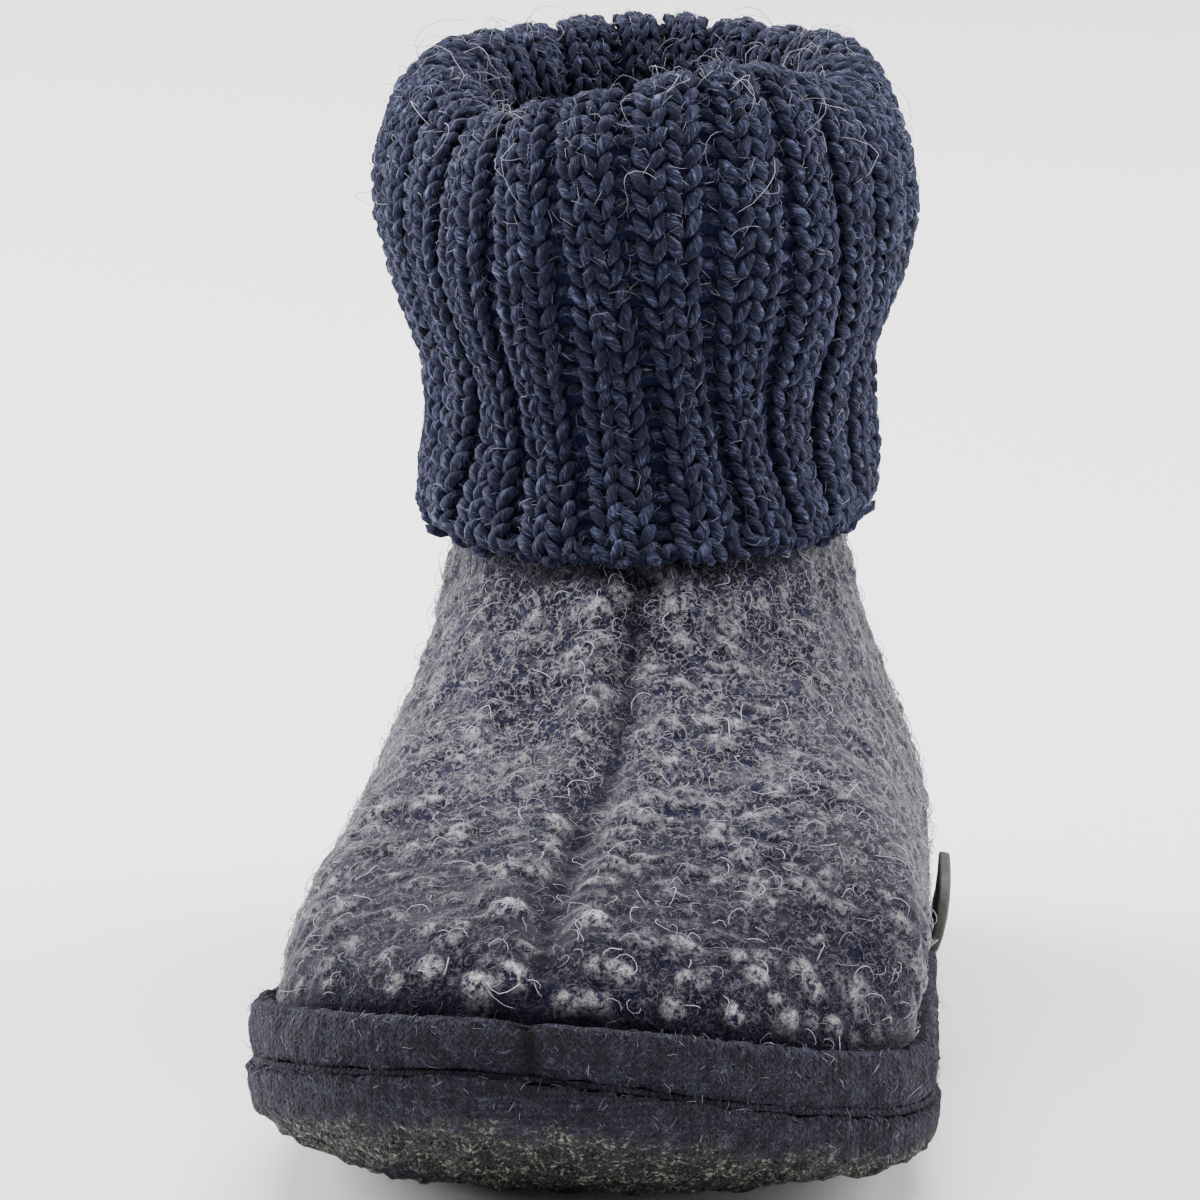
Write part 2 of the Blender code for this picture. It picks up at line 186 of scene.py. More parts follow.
def linked(name, mesh):
    """An object in the scene for this mesh."""
    thing = bpy.data.objects.new(name, mesh)
    bpy.context.scene.collection.objects.link(thing)
    return thing


def mesh_of(name, points, faces, uvs=None):
    mesh = bpy.data.meshes.new(name)
    mesh.from_pydata([tuple(p) for p in points], [], faces)
    if uvs:
        layer = mesh.uv_layers.new(name="UVMap")
        flat = [value for face in uvs for corner in face for value in corner]
        layer.data.foreach_set("uv", flat)
    mesh.shade_smooth()
    return mesh


def merged_copy(node):
    """A copy of a node's mesh with its loose triangles joined into quads."""
    build = bmesh.new()
    build.from_mesh(frame["nodes"][node].data)
    bmesh.ops.remove_doubles(build, verts=build.verts, dist=1e-6)
    bmesh.ops.join_triangles(
        build,
        faces=build.faces,
        angle_face_threshold=math.radians(50),
        angle_shape_threshold=math.radians(60),
    )
    return build


def skin_of(*nodes):
    """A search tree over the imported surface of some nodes."""
    points = []
    faces = []
    for node in nodes:
        build = bmesh.new()
        build.from_mesh(frame["nodes"][node].data)
        start = len(points)
        points += [v.co.copy() for v in build.verts]
        faces += [[start + v.index for v in f.verts] for f in build.faces]
        build.free()
    return BVHTree.FromPolygons(points, faces)


def places(mesh):
    flat = np.zeros(len(mesh.vertices) * 3)
    mesh.vertices.foreach_get("co", flat)
    return flat.reshape(-1, 3)


def directions(mesh):
    flat = np.zeros(len(mesh.vertices) * 3)
    mesh.vertex_normals.foreach_get("vector", flat)
    return flat.reshape(-1, 3)


def move_to(mesh, points):
    mesh.vertices.foreach_set("co", np.asarray(points, float).ravel())
    mesh.update()


def store(mesh, name, values):
    """Stores a number or a vector for each point under a name."""
    values = np.asarray(values)
    kind = "FLOAT_VECTOR" if values.ndim == 2 else "INT" if values.dtype.kind == "i" else "FLOAT"
    layer = mesh.attributes.new(name, kind, "POINT")
    layer.data.foreach_set("vector" if values.ndim == 2 else "value", values.ravel())


def applied(thing):
    """Turns an object with modifiers into a plain mesh and drops the modifiers."""
    graph = bpy.context.evaluated_depsgraph_get()
    result = bpy.data.meshes.new_from_object(thing.evaluated_get(graph))
    old = thing.data
    thing.modifiers.clear()
    thing.data = result
    bpy.data.meshes.remove(old)
    thing.data.name = thing.name
    return thing


def felted_copy(node, name, grain):
    """A smooth copy of a node with an even net of points over it."""
    build = merged_copy(node)
    mesh = bpy.data.meshes.new(name)
    build.to_mesh(mesh)
    build.free()
    thing = linked(name, mesh)
    smooth = thing.modifiers.new("smooth", "SUBSURF")
    smooth.levels = 2
    smooth.render_levels = 2
    applied(thing)
    remesh = thing.modifiers.new("even", "REMESH")
    remesh.mode = "VOXEL"
    remesh.voxel_size = grain
    return applied(thing)


def exposure(points, normals, node):
    """For each point of a node: 1 where it faces out, 1 where it shows, and the
    room that it has to the other nodes."""
    own = skin_of(node)
    others = skin_of(*(other for other in frame["nodes"] if other != node))
    faces_out = np.ones(len(points))
    shows = np.ones(len(points))
    room = np.zeros(len(points))
    for i, (point, normal) in enumerate(zip(points, normals)):
        if own.ray_cast(point + normal * SKIP, normal, FAR)[0] is not None:
            faces_out[i] = shows[i] = 0
        elif others.ray_cast(point, normal, COVERED)[0] is not None:
            shows[i] = 0
        room[i] = others.find_nearest(point, COVERED)[3] or COVERED
    return faces_out, shows, room


def thinned(thing, shows, share):
    """Thins the mesh where it doesn't show."""
    group = thing.vertex_groups.new(name="inside")
    group.add([int(i) for i in np.flatnonzero(shows < 0.5)], 1.0, "REPLACE")
    thin = thing.modifiers.new("thin", "DECIMATE")
    thin.ratio = share
    thin.vertex_group = "inside"
    applied(thing)
    thing.vertex_groups.clear()
    thing.data.shade_smooth()


def finish_piece(thing, material=None, stands_for=()):
    """Gives a piece its material, its body and the nodes it stands for."""
    if material is not None:
        thing.data.materials.clear()
        thing.data.materials.append(material)
    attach(thing, BODY)
    if stands_for:
        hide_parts(*stands_for)


def camera_axes():
    """The directions from the target back to the camera, to the right and up."""
    turn = math.radians(CAMERA_AZIMUTH)
    rise = math.radians(CAMERA_ELEVATION)
    back = Vector((math.sin(turn) * math.cos(rise), -math.cos(turn) * math.cos(rise), math.sin(rise)))
    right = Vector((math.cos(turn), math.sin(turn), 0.0))
    return back, right, back.cross(right)


def sight(across, down):
    """Where the camera stands and the way it looks for a place in its picture."""
    back, right, up = camera_axes()
    start = CAMERA_TARGET + back * CAMERA_DISTANCE
    half = IMAGE_SIDE / 2
    aim = right * (across - half) - up * (down - half) - back * FOCAL_PIXELS
    return start, aim.normalized()


def seen_places(skin, spots):
    """The places on a skin that the camera sees at these places of its picture."""
    found = [skin.ray_cast(*sight(*spot))[0] for spot in spots]
    return [place for place in found if place is not None]


# The shape of the cuff


class CuffShape:
    """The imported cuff's outside as a smooth sheet, from under the hem up the
    outer leg, over the fold and down inside, with the ribs of the knit on it."""

    # Directions round the ankle, points in each, and how many of them are averaged
    DIRECTIONS = 144
    SAMPLES = 150
    SMOOTHING = (6, 5)
    # The hem is probed from below, this far inside its outer face
    HEM_PROBES = (2.0 * MM, 1.2 * MM, 0.5 * MM)
    HEM_LIFT = 0.2 * MM
    # The fold is probed all round from this far, above a level this far under the top
    RIM_DROP = 9 * MM
    FOLD_STEPS = 18
    FOLD_REACH = 14 * MM
    INNER_DEPTH = 31 * MM
    # The hollow of the cuff is wider than this
    INSIDE = 10 * MM
    # The girth is measured at this share of the way along the knit
    MIDDLE_ROW = 0.20
    # The fold's swellings and slumps: degrees from the toe towards the outer side,
    # half width in degrees, and height
    RIM_WAVES = ((20, 32, 4.0 * MM), (-38, 16, -2.5 * MM))
    RIM_FADE = (0.22, 0.52)
    # The ribs' slant at the hem and its change along the knit, in shares of the lean
    LEAN_START = 0.3
    LEAN_CHANGE = 1.1
    # The ribs' wandering: size in ribs, waves round the ankle and along the knit, start
    WANDERS = ((0.10, 3, 1.3, 0.0), (0.07, 7, 2.1, 0.4))
    # How full the ribs are, and the height of the knit's slow unevenness
    RIB_CREST = 0.75
    UNEVEN = 0.55 * MM
    # Directions are taken between places this share of the sheet apart
    NEARBY = 0.0015

    def __init__(self, knit):
        self.knit = knit
        self.skin = skin_of("cuff")
        self.low, self.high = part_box("cuff")
        self.axis = Vector((0.0, (self.low[1] + self.high[1]) / 2, 0.0))
        turns = [2 * math.pi * i / self.DIRECTIONS for i in range(self.DIRECTIONS)]
        rows = np.array([self.section(turn) for turn in turns])
        for width in self.SMOOTHING:
            window = range(-(width // 2), width - width // 2)
            rows = sum(np.roll(rows, k, axis=0) for k in window) / width
        front = (np.degrees(turns) + 270) % 360 - 180
        rise = sum(high * np.exp(-(((front - at) / wide) ** 2)) for at, wide, high in self.RIM_WAVES)
        climb = eased(np.linspace(0, 1, self.SAMPLES), *self.RIM_FADE)
        rows[:, :, 2] += rise[:, None] * climb
        self.rows = rows
        ring = rows[:, int(self.MIDDLE_ROW * self.SAMPLES)]
        steps = np.linalg.norm(np.roll(ring, -1, axis=0) - ring, axis=1)
        self.girth = steps.sum()
        self.arc = np.concatenate([[0], np.cumsum(steps)]) / self.girth
        lengths = np.linalg.norm(np.diff(rows, axis=1), axis=2).sum(axis=1)
        self.length = lengths.mean()
        self.courses = round(self.length / knit.course)

    def hit(self, start, aim):
        return self.skin.ray_cast(start, aim)[0]

    def section(self, turn):
        """Evenly spaced points of the cuff's outside in one direction."""
        out = Vector((math.cos(turn), math.sin(turn), 0.0))
        rim = self.high[2] - self.RIM_DROP
        path = []
        for height in np.arange(self.low[2] + self.HEM_LIFT, rim, MM):
            place = self.hit(self.axis + out * FAR + UP * height, -out)
            if place is not None and (place - self.axis).dot(out) > self.INSIDE:
                path.append(place)
        outer = (path[0] - self.axis).dot(out)
        hem = []
        for probe in self.HEM_PROBES:
            start = self.axis + out * (outer - probe) + UP * (self.low[2] - self.INSIDE)
            place = self.hit(start, UP)
            if place is not None and place[2] < path[0][2] + MM:
                hem.append(place)
        inner = self.hit(self.axis + UP * rim, out)
        middle = (path[-1] + inner) / 2
        for step in range(1, self.FOLD_STEPS):
            lean = math.pi * step / self.FOLD_STEPS
            aim = out * math.cos(lean) + UP * math.sin(lean)
            path.append(self.hit(middle + aim * self.FOLD_REACH, -aim))
        for drop in np.arange(MM, self.INNER_DEPTH, MM):
            path.append(self.hit(self.axis + UP * (rim - drop), out))
        path.append(path[-1] - UP * MM)
        path = np.array([p for p in hem + path if p is not None])
        lengths = np.concatenate([[0], np.cumsum(np.linalg.norm(np.diff(path, axis=0), axis=1))])
        even = np.linspace(0, lengths[-1], self.SAMPLES)
        return np.stack([np.interp(even, lengths, path[:, k]) for k in range(3)], axis=1)

    def sheet(self, around, along):
        """The smooth sheet at shares round the ankle and along the knit."""
        column = np.interp(np.mod(around, 1.0), self.arc, np.arange(self.DIRECTIONS + 1))
        row = np.clip(along, 0, 1) * (self.SAMPLES - 1)
        i = np.floor(column).astype(int)
        j = np.minimum(np.floor(row).astype(int), self.SAMPLES - 2)
        s = (column - i)[:, None]
        t = (row - j)[:, None]
        a = self.rows[i % self.DIRECTIONS, j]
        b = self.rows[(i + 1) % self.DIRECTIONS, j]
        c = self.rows[i % self.DIRECTIONS, j + 1]
        d = self.rows[(i + 1) % self.DIRECTIONS, j + 1]
        return mixed(mixed(a, b, s), mixed(c, d, s), t)

    def frames(self, place, around, along):
        """Outward and upward directions of a sheet given as a function."""
        near = self.NEARBY
        # At the sheet's two ends the directions are those a little way inside it
        along = np.clip(along, 4 * near, 1 - 4 * near)
        across = place(around + near, along) - place(around - near, along)
        upward = place(around, along + 2 * near) - place(around, along - 2 * near)
        outward = np.cross(across, upward)
        outward /= np.linalg.norm(outward, axis=1)[:, None]
        upward /= np.linalg.norm(upward, axis=1)[:, None]
        return outward, upward

    def leaned(self, rib, along):
        """The share round the ankle of a rib, which leans as it runs down."""
        lean = self.knit.lean * (self.LEAN_START - self.LEAN_CHANGE * along)
        wander = 0.0
        for size, waves, climb, start in self.WANDERS:
            wave = waves * rib / self.knit.ribs + climb * along + start
            wander = wander + size * np.sin(2 * np.pi * wave)
        return (rib + lean + wander) / self.knit.ribs

    def ribbed(self, rib, along):
        """The knit's surface: proud on the ribs and sunken between them, with a
        slow unevenness, as in a hand-knitted cuff."""
        around = self.leaned(rib, along)
        outward, _ = self.frames(self.sheet, around, along)
        ridge = np.clip((1 + np.cos(2 * np.pi * rib)) * self.RIB_CREST, 0, 1)
        slow = np.sin(2 * np.pi * (4 * around + 1.7 * along))
        slow *= np.sin(2 * np.pi * (2.3 * along + around))
        height = self.knit.proud - self.knit.rib_depth * (1 - ridge) + self.UNEVEN * slow
        return self.sheet(around, along) + outward * height[:, None]


# Fibres and stitches

# Places along a leg of the knit stitch and along the bar of the purl stitch: across
# in stitch widths, up in rows and out in half the yarn's thickness
LEG = (
    (0.00, -0.74, -1.00),
    (0.10, -0.46, -0.10),
    (0.20, -0.14, 0.38),
    (0.32, 0.20, 0.40),
    (0.42, 0.50, -0.05),
    (0.46, 0.78, -0.90),
)
BAR = (
    (-0.42, -0.24, -0.9),
    (-0.27, 0.08, 0.15),
    (-0.09, 0.22, 0.45),
    (0.09, 0.20, 0.45),
    (0.27, 0.05, 0.15),
    (0.42, -0.24, -0.9),
)
# The yarn's thickness at these places, as shares of its full one
LEG_SHARES = (0, 0.70, 1.0, 1.0, 0.76, 0)
BAR_SHARES = (0, 0.72, 0.86, 0.86, 0.72, 0)
# Different stitches of each kind, and how far their places and thickness vary
KNIT_KINDS = 4
PURL_KINDS = 2
KNIT_SHAKE = 0.035
PURL_SHAKE = 0.04
THICKNESS_SPREAD = (0.94, 1.06)
YARN_SIDES = 5
# The length of yarn in which its two plies turn once
LAY = 4.2 * MM
# A loose fibre: how deep it is rooted, how much its bend changes from step to step,
# its tightest bend and steepest rise, and how unevenly it rises
ROOT = 0.35 * MM
BEND_CHANGE = 0.7
TIGHTEST = 1.5
STEEPEST = 0.8
RISE_SPREAD = 0.35


def tube(path, radii, sides, lay=None):
    """Points, faces and UVs of a closed tube that ends in a point at both ends.
    With a lay, the UVs run once round and once for each lay along it."""
    points = [path[0]]
    side = (path[1] - path[0]).orthogonal().normalized()
    for i in range(1, len(path) - 1):
        ahead = (path[i + 1] - path[i - 1]).normalized()
        side = (side - ahead * side.dot(ahead)).normalized()
        over = ahead.cross(side)
        for j in range(sides):
            angle = 2 * math.pi * j / sides
            points.append(path[i] + (side * math.cos(angle) + over * math.sin(angle)) * radii[i])
    points.append(path[-1])
    steps = [0.0]
    for i in range(1, len(path)):
        steps.append(steps[-1] + (path[i] - path[i - 1]).length / (lay or 1))
    rings = len(path) - 2
    last = len(points) - 1
    faces = []
    uvs = []
    for j in range(sides):
        k = (j + 1) % sides
        u = j / sides
        w = (j + 1) / sides
        faces.append((0, 1 + k, 1 + j))
        uvs.append(((u, 0), (w, steps[1]), (u, steps[1])))
        for i in range(rings - 1):
            a = 1 + i * sides
            low = steps[i + 1]
            high = steps[i + 2]
            faces.append((a + j, a + k, a + sides + k, a + sides + j))
            uvs.append(((u, low), (w, low), (w, high), (u, high)))
        b = 1 + (rings - 1) * sides
        faces.append((b + j, b + k, last))
        uvs.append(((u, steps[-2]), (w, steps[-2]), (u, steps[-1])))
    return points, faces, uvs


def joined_tubes(tubes):
    points = []
    faces = []
    uvs = []
    for some_points, some_faces, some_uvs in tubes:
        start = len(points)
        points += some_points
        faces += [tuple(start + k for k in face) for face in some_faces]
        uvs += some_uvs
    return points, faces, uvs


def bag_of(name, meshes):
    """A collection that is not in the scene, with an object for each mesh."""
    bag = bpy.data.collections.new(name)
    for mesh in meshes:
        bag.objects.link(bpy.data.objects.new(mesh.name, mesh))
    return bag


def empty_bag(bag):
    for thing in list(bag.objects):
        bpy.data.meshes.remove(thing.data)
    bpy.data.collections.remove(bag)


def stitch_bag(knit):
    """The knit stitch, two thick legs that meet in a V, and the purl bar."""
    rng = random.Random(SEED_STITCHES)
    wide = knit.wale
    tall = knit.course
    thick = knit.yarn / 2
    meshes = []
    for kind in range(KNIT_KINDS):
        legs = []
        for hand in (-1, 1):
            path = []
            for x, y, z in LEG:
                shake = [rng.uniform(-KNIT_SHAKE, KNIT_SHAKE) for _ in range(3)]
                across = hand * (x + shake[0]) * wide
                path.append(Vector((across, (y + shake[1]) * tall, (z + shake[2]) * thick)))
            radii = [thick * share * rng.uniform(*THICKNESS_SPREAD) for share in LEG_SHARES]
            legs.append(tube(path, radii, YARN_SIDES, LAY))
        meshes.append(mesh_of(f"knit_{kind}", *joined_tubes(legs)))
    for kind in range(PURL_KINDS):
        path = []
        for x, y, z in BAR:
            up = (y + rng.uniform(-PURL_SHAKE, PURL_SHAKE)) * tall
            path.append(Vector((x * wide, up, z * thick)))
        radii = [thick * share for share in BAR_SHARES]
        meshes.append(mesh_of(f"purl_{kind}", *tube(path, radii, YARN_SIDES, LAY)))
    return bag_of("stitches", meshes)


def curl_path(rng, length, rise, curl, steps):
    """A fibre that leaves the cloth and wanders over it in curls."""
    heading = rng.uniform(0, 2 * math.pi)
    turning = rng.uniform(-1, 1) / curl
    step = length / steps
    place = Vector((0.0, 0.0, -ROOT))
    path = [place.copy()]
    for i in range(steps):
        share = (i + 0.5) / steps
        turning += rng.uniform(-1, 1) * BEND_CHANGE / curl
        turning = max(-TIGHTEST / curl, min(TIGHTEST / curl, turning))
        heading += turning * step
        uneven = rng.uniform(-RISE_SPREAD, RISE_SPREAD)
        climb = rise * (math.cos(math.pi * share * 1.1) + uneven) * 3 / steps
        climb = max(-STEEPEST * step, min(STEEPEST * step, climb))
        level = math.sqrt(step * step - climb * climb)
        place = place + Vector((math.cos(heading) * level, math.sin(heading) * level, climb))
        path.append(place.copy())
    return path


def curl_bag(name, count, lengths, rise, curl, steps, thickness, seed):
    """A bag of differently curled fibres with three flat sides: how many, their
    shortest and longest length, rise, radius of curl, steps and thickness."""
    rng = random.Random(seed)
    meshes = []
    for i in range(count):
        path = curl_path(rng, rng.uniform(*lengths), rise * rng.uniform(0.5, 1.5), curl, steps)
        thick = thickness * rng.uniform(0.8, 1.2) / 2
        radii = [thick * mixed(1.0, 0.55, k / steps) for k in range(len(path))]
        points, faces, _ = tube(path, radii, 3)
        meshes.append(mesh_of(f"{name}_{i:02d}", points, faces))
    return bag_of(name, meshes)


# Geometry node trees


def new_tree(name, sockets):
    """A geometry node tree with geometry in and out and these named inputs."""
    tree = bpy.data.node_groups.new(name, "GeometryNodeTree")
    face = tree.interface
    face.new_socket("Geometry", in_out="INPUT", socket_type="NodeSocketGeometry")
    for label, kind, default in sockets:
        socket = face.new_socket(label, in_out="INPUT", socket_type=kind)
        if default is not None:
            socket.default_value = default
    face.new_socket("Geometry", in_out="OUTPUT", socket_type="NodeSocketGeometry")
    return tree, add(tree, "NodeGroupInput").outputs


def run_tree(thing, tree, values):
    """Runs a tree on an object with these inputs and keeps the result."""
    modifier = thing.modifiers.new(tree.name, "NODES")
    modifier.node_group = tree
    for item in tree.interface.items_tree:
        if item.in_out == "INPUT" and item.name in values:
            modifier[item.identifier] = values[item.name]
    return applied(thing)


def place_pieces(tree, source, how, spin):
    """Sets a piece of the bag on each point, spins it, gives it a shade of its own,
    makes it real and colours it; how says on which points, which piece and how it lies."""
    inputs = {"Collection": source["Bag"], "Separate Children": True, "Reset Children": True}
    pieces = add(tree, "GeometryNodeCollectionInfo", None, inputs).outputs[0]
    inputs = {"Instance": pieces, "Pick Instance": True, **how}
    placed = add(tree, "GeometryNodeInstanceOnPoints", None, inputs).outputs["Instances"]
    inputs = {"Instances": placed, "Rotation": spin.outputs[0]}
    turned = add(tree, "GeometryNodeRotateInstances", None, inputs).outputs["Instances"]
    inputs = {"Seed": source["Seed"]}
    shade = add(tree, "FunctionNodeRandomValue", {"data_type": "FLOAT"}, inputs).outputs[1]
    settings = {"data_type": "FLOAT", "domain": "INSTANCE"}
    inputs = {"Geometry": turned, "Name": "shade", "Value": shade}
    kept = add(tree, "GeometryNodeStoreNamedAttribute", settings, inputs).outputs["Geometry"]
    inputs = {"Geometry": kept}
    real = add(tree, "GeometryNodeRealizeInstances", None, inputs).outputs["Geometry"]
    inputs = {"Geometry": real, "Material": source["Material"]}
    coloured = add(tree, "GeometryNodeSetMaterial", None, inputs).outputs["Geometry"]
    add(tree, "NodeGroupOutput", None, {"Geometry": coloured})


def stitch_tree():
    """Sets a stitch on each point, turned by the point's own directions."""
    sockets = (
        ("Bag", "NodeSocketCollection", None),
        ("Size jitter", "NodeSocketFloat", 0.06),
        ("Turn jitter", "NodeSocketFloat", 0.10),
        ("Seed", "NodeSocketInt", 0),
        ("Material", "NodeSocketMaterial", None),
    )
    tree, source = new_tree("knit_stitches", sockets)
    own = {}
    for name in ("outward", "upward", "stretch", "which"):
        settings = {"data_type": "INT" if name == "which" else "FLOAT_VECTOR"}
        node = add(tree, "GeometryNodeInputNamedAttribute", settings, {"Name": name})
        own[name] = node.outputs["Attribute"]
    settings = {"primary_axis": "Z", "secondary_axis": "Y"}
    inputs = {"Primary Axis": own["outward"], "Secondary Axis": own["upward"]}
    turn = add(tree, "FunctionNodeAxesToRotation", settings, inputs).outputs["Rotation"]
    bounds = {0: 1.0, 1: source["Size jitter"]}
    low = add(tree, "ShaderNodeMath", {"operation": "SUBTRACT"}, bounds).outputs[0]
    high = add(tree, "ShaderNodeMath", {"operation": "ADD"}, bounds).outputs[0]
    inputs = {2: low, 3: high, "Seed": source["Seed"]}
    jitter = add(tree, "FunctionNodeRandomValue", {"data_type": "FLOAT"}, inputs).outputs[1]
    inputs = {0: own["stretch"], "Scale": jitter}
    size = add(tree, "ShaderNodeVectorMath", {"operation": "SCALE"}, inputs).outputs[0]
    inputs = {0: source["Turn jitter"], 1: -1.0}
    minus = add(tree, "ShaderNodeMath", MULTIPLY, inputs).outputs[0]
    least = add(tree, "ShaderNodeCombineXYZ", None, {2: minus}).outputs[0]
    most = add(tree, "ShaderNodeCombineXYZ", None, {2: source["Turn jitter"]}).outputs[0]
    inputs = {0: least, 1: most, "Seed": source["Seed"]}
    spin = add(tree, "FunctionNodeRandomValue", {"data_type": "FLOAT_VECTOR"}, inputs)
    how = {
        "Points": source["Geometry"],
        "Instance Index": own["which"],
        "Rotation": turn,
        "Scale": size,
    }
    place_pieces(tree, source, how, spin)
    return tree


def nap_tree():
    """Strews curled fibres over a surface, thickest where its nap is high."""
    sockets = (
        ("Fibres per square metre", "NodeSocketFloat", 100000.0),
        ("Shortest", "NodeSocketFloat", 0.7),
        ("Longest", "NodeSocketFloat", 1.4),
        ("Bag", "NodeSocketCollection", None),
        ("Seed", "NodeSocketInt", 0),
        ("Material", "NodeSocketMaterial", None),
    )
    tree, source = new_tree("wool_nap", sockets)
    nap = add(tree, "GeometryNodeInputNamedAttribute", {"data_type": "FLOAT"}, {"Name": "nap"})
    inputs = {0: nap.outputs["Attribute"], 1: source["Fibres per square metre"]}
    density = add(tree, "ShaderNodeMath", MULTIPLY, inputs).outputs[0]
    inputs = {"Mesh": source["Geometry"], "Density": density, "Seed": source["Seed"]}
    strewn = add(tree, "GeometryNodeDistributePointsOnFaces", None, inputs).outputs
    inputs = {2: source["Shortest"], 3: source["Longest"], "Seed": source["Seed"]}
    size = add(tree, "FunctionNodeRandomValue", {"data_type": "FLOAT"}, inputs).outputs[1]
    inputs = {1: (0.0, 0.0, 2 * math.pi), "Seed": source["Seed"]}
    spin = add(tree, "FunctionNodeRandomValue", {"data_type": "FLOAT_VECTOR"}, inputs)
    how = {"Points": strewn["Points"], "Rotation": strewn["Rotation"], "Scale": size}
    place_pieces(tree, source, how, spin)
    return tree


def nap_piece(name, mesh, per_square_cm, bag, sizes, seed, material):
    """Fibres over a mesh's points of high nap, as one piece."""
    thing = linked(name, mesh.copy())
    values = {
        "Fibres per square metre": per_square_cm * 1e4,
        "Shortest": sizes[0],
        "Longest": sizes[1],
        "Bag": bag,
        "Seed": seed,
        "Material": material,
    }
    run_tree(thing, bpy.data.node_groups.get("wool_nap") or nap_tree(), values)
    finish_piece(thing)


# Materials


def new_material(name):
    material = bpy.data.materials.new(name)
    material.use_nodes = True
    tree = material.node_tree
    return material, tree, tree.nodes["Principled BSDF"]


def set_cloth(shader, roughness, sheen, tint, gloss=0.2):
    """What all the woollen surfaces share, set on the shader's own sockets."""
    shader.inputs["Roughness"].default_value = roughness
    shader.inputs["Specular IOR Level"].default_value = gloss
    shader.inputs["Sheen Weight"].default_value = sheen
    shader.inputs["Sheen Roughness"].default_value = 0.5
    shader.inputs["Sheen Tint"].default_value = tint


def fibre_lines(tree, place, size, width):
    """A tangle of thin bright lines, as of loose fibres seen on the cloth: the
    level lines of a noise whose patches have this size."""
    noise_inputs = {"Vector": place, "Scale": 1 / size, "Detail": 1.0, "Distortion": 0.4}
    level = add(tree, "ShaderNodeTexNoise", None, noise_inputs).outputs["Fac"]
    apart = add(tree, "ShaderNodeMath", {"operation": "SUBTRACT"}, {0: level, 1: 0.5}).outputs[0]
    away = add(tree, "ShaderNodeMath", {"operation": "ABSOLUTE"}, {0: apart}).outputs[0]
    span = {0: away, "From Min": 0.0, "From Max": width, "To Min": 1.0, "To Max": 0.0}
    settings = {"interpolation_type": "SMOOTHSTEP"}
    return add(tree, "ShaderNodeMapRange", settings, span).outputs[0]


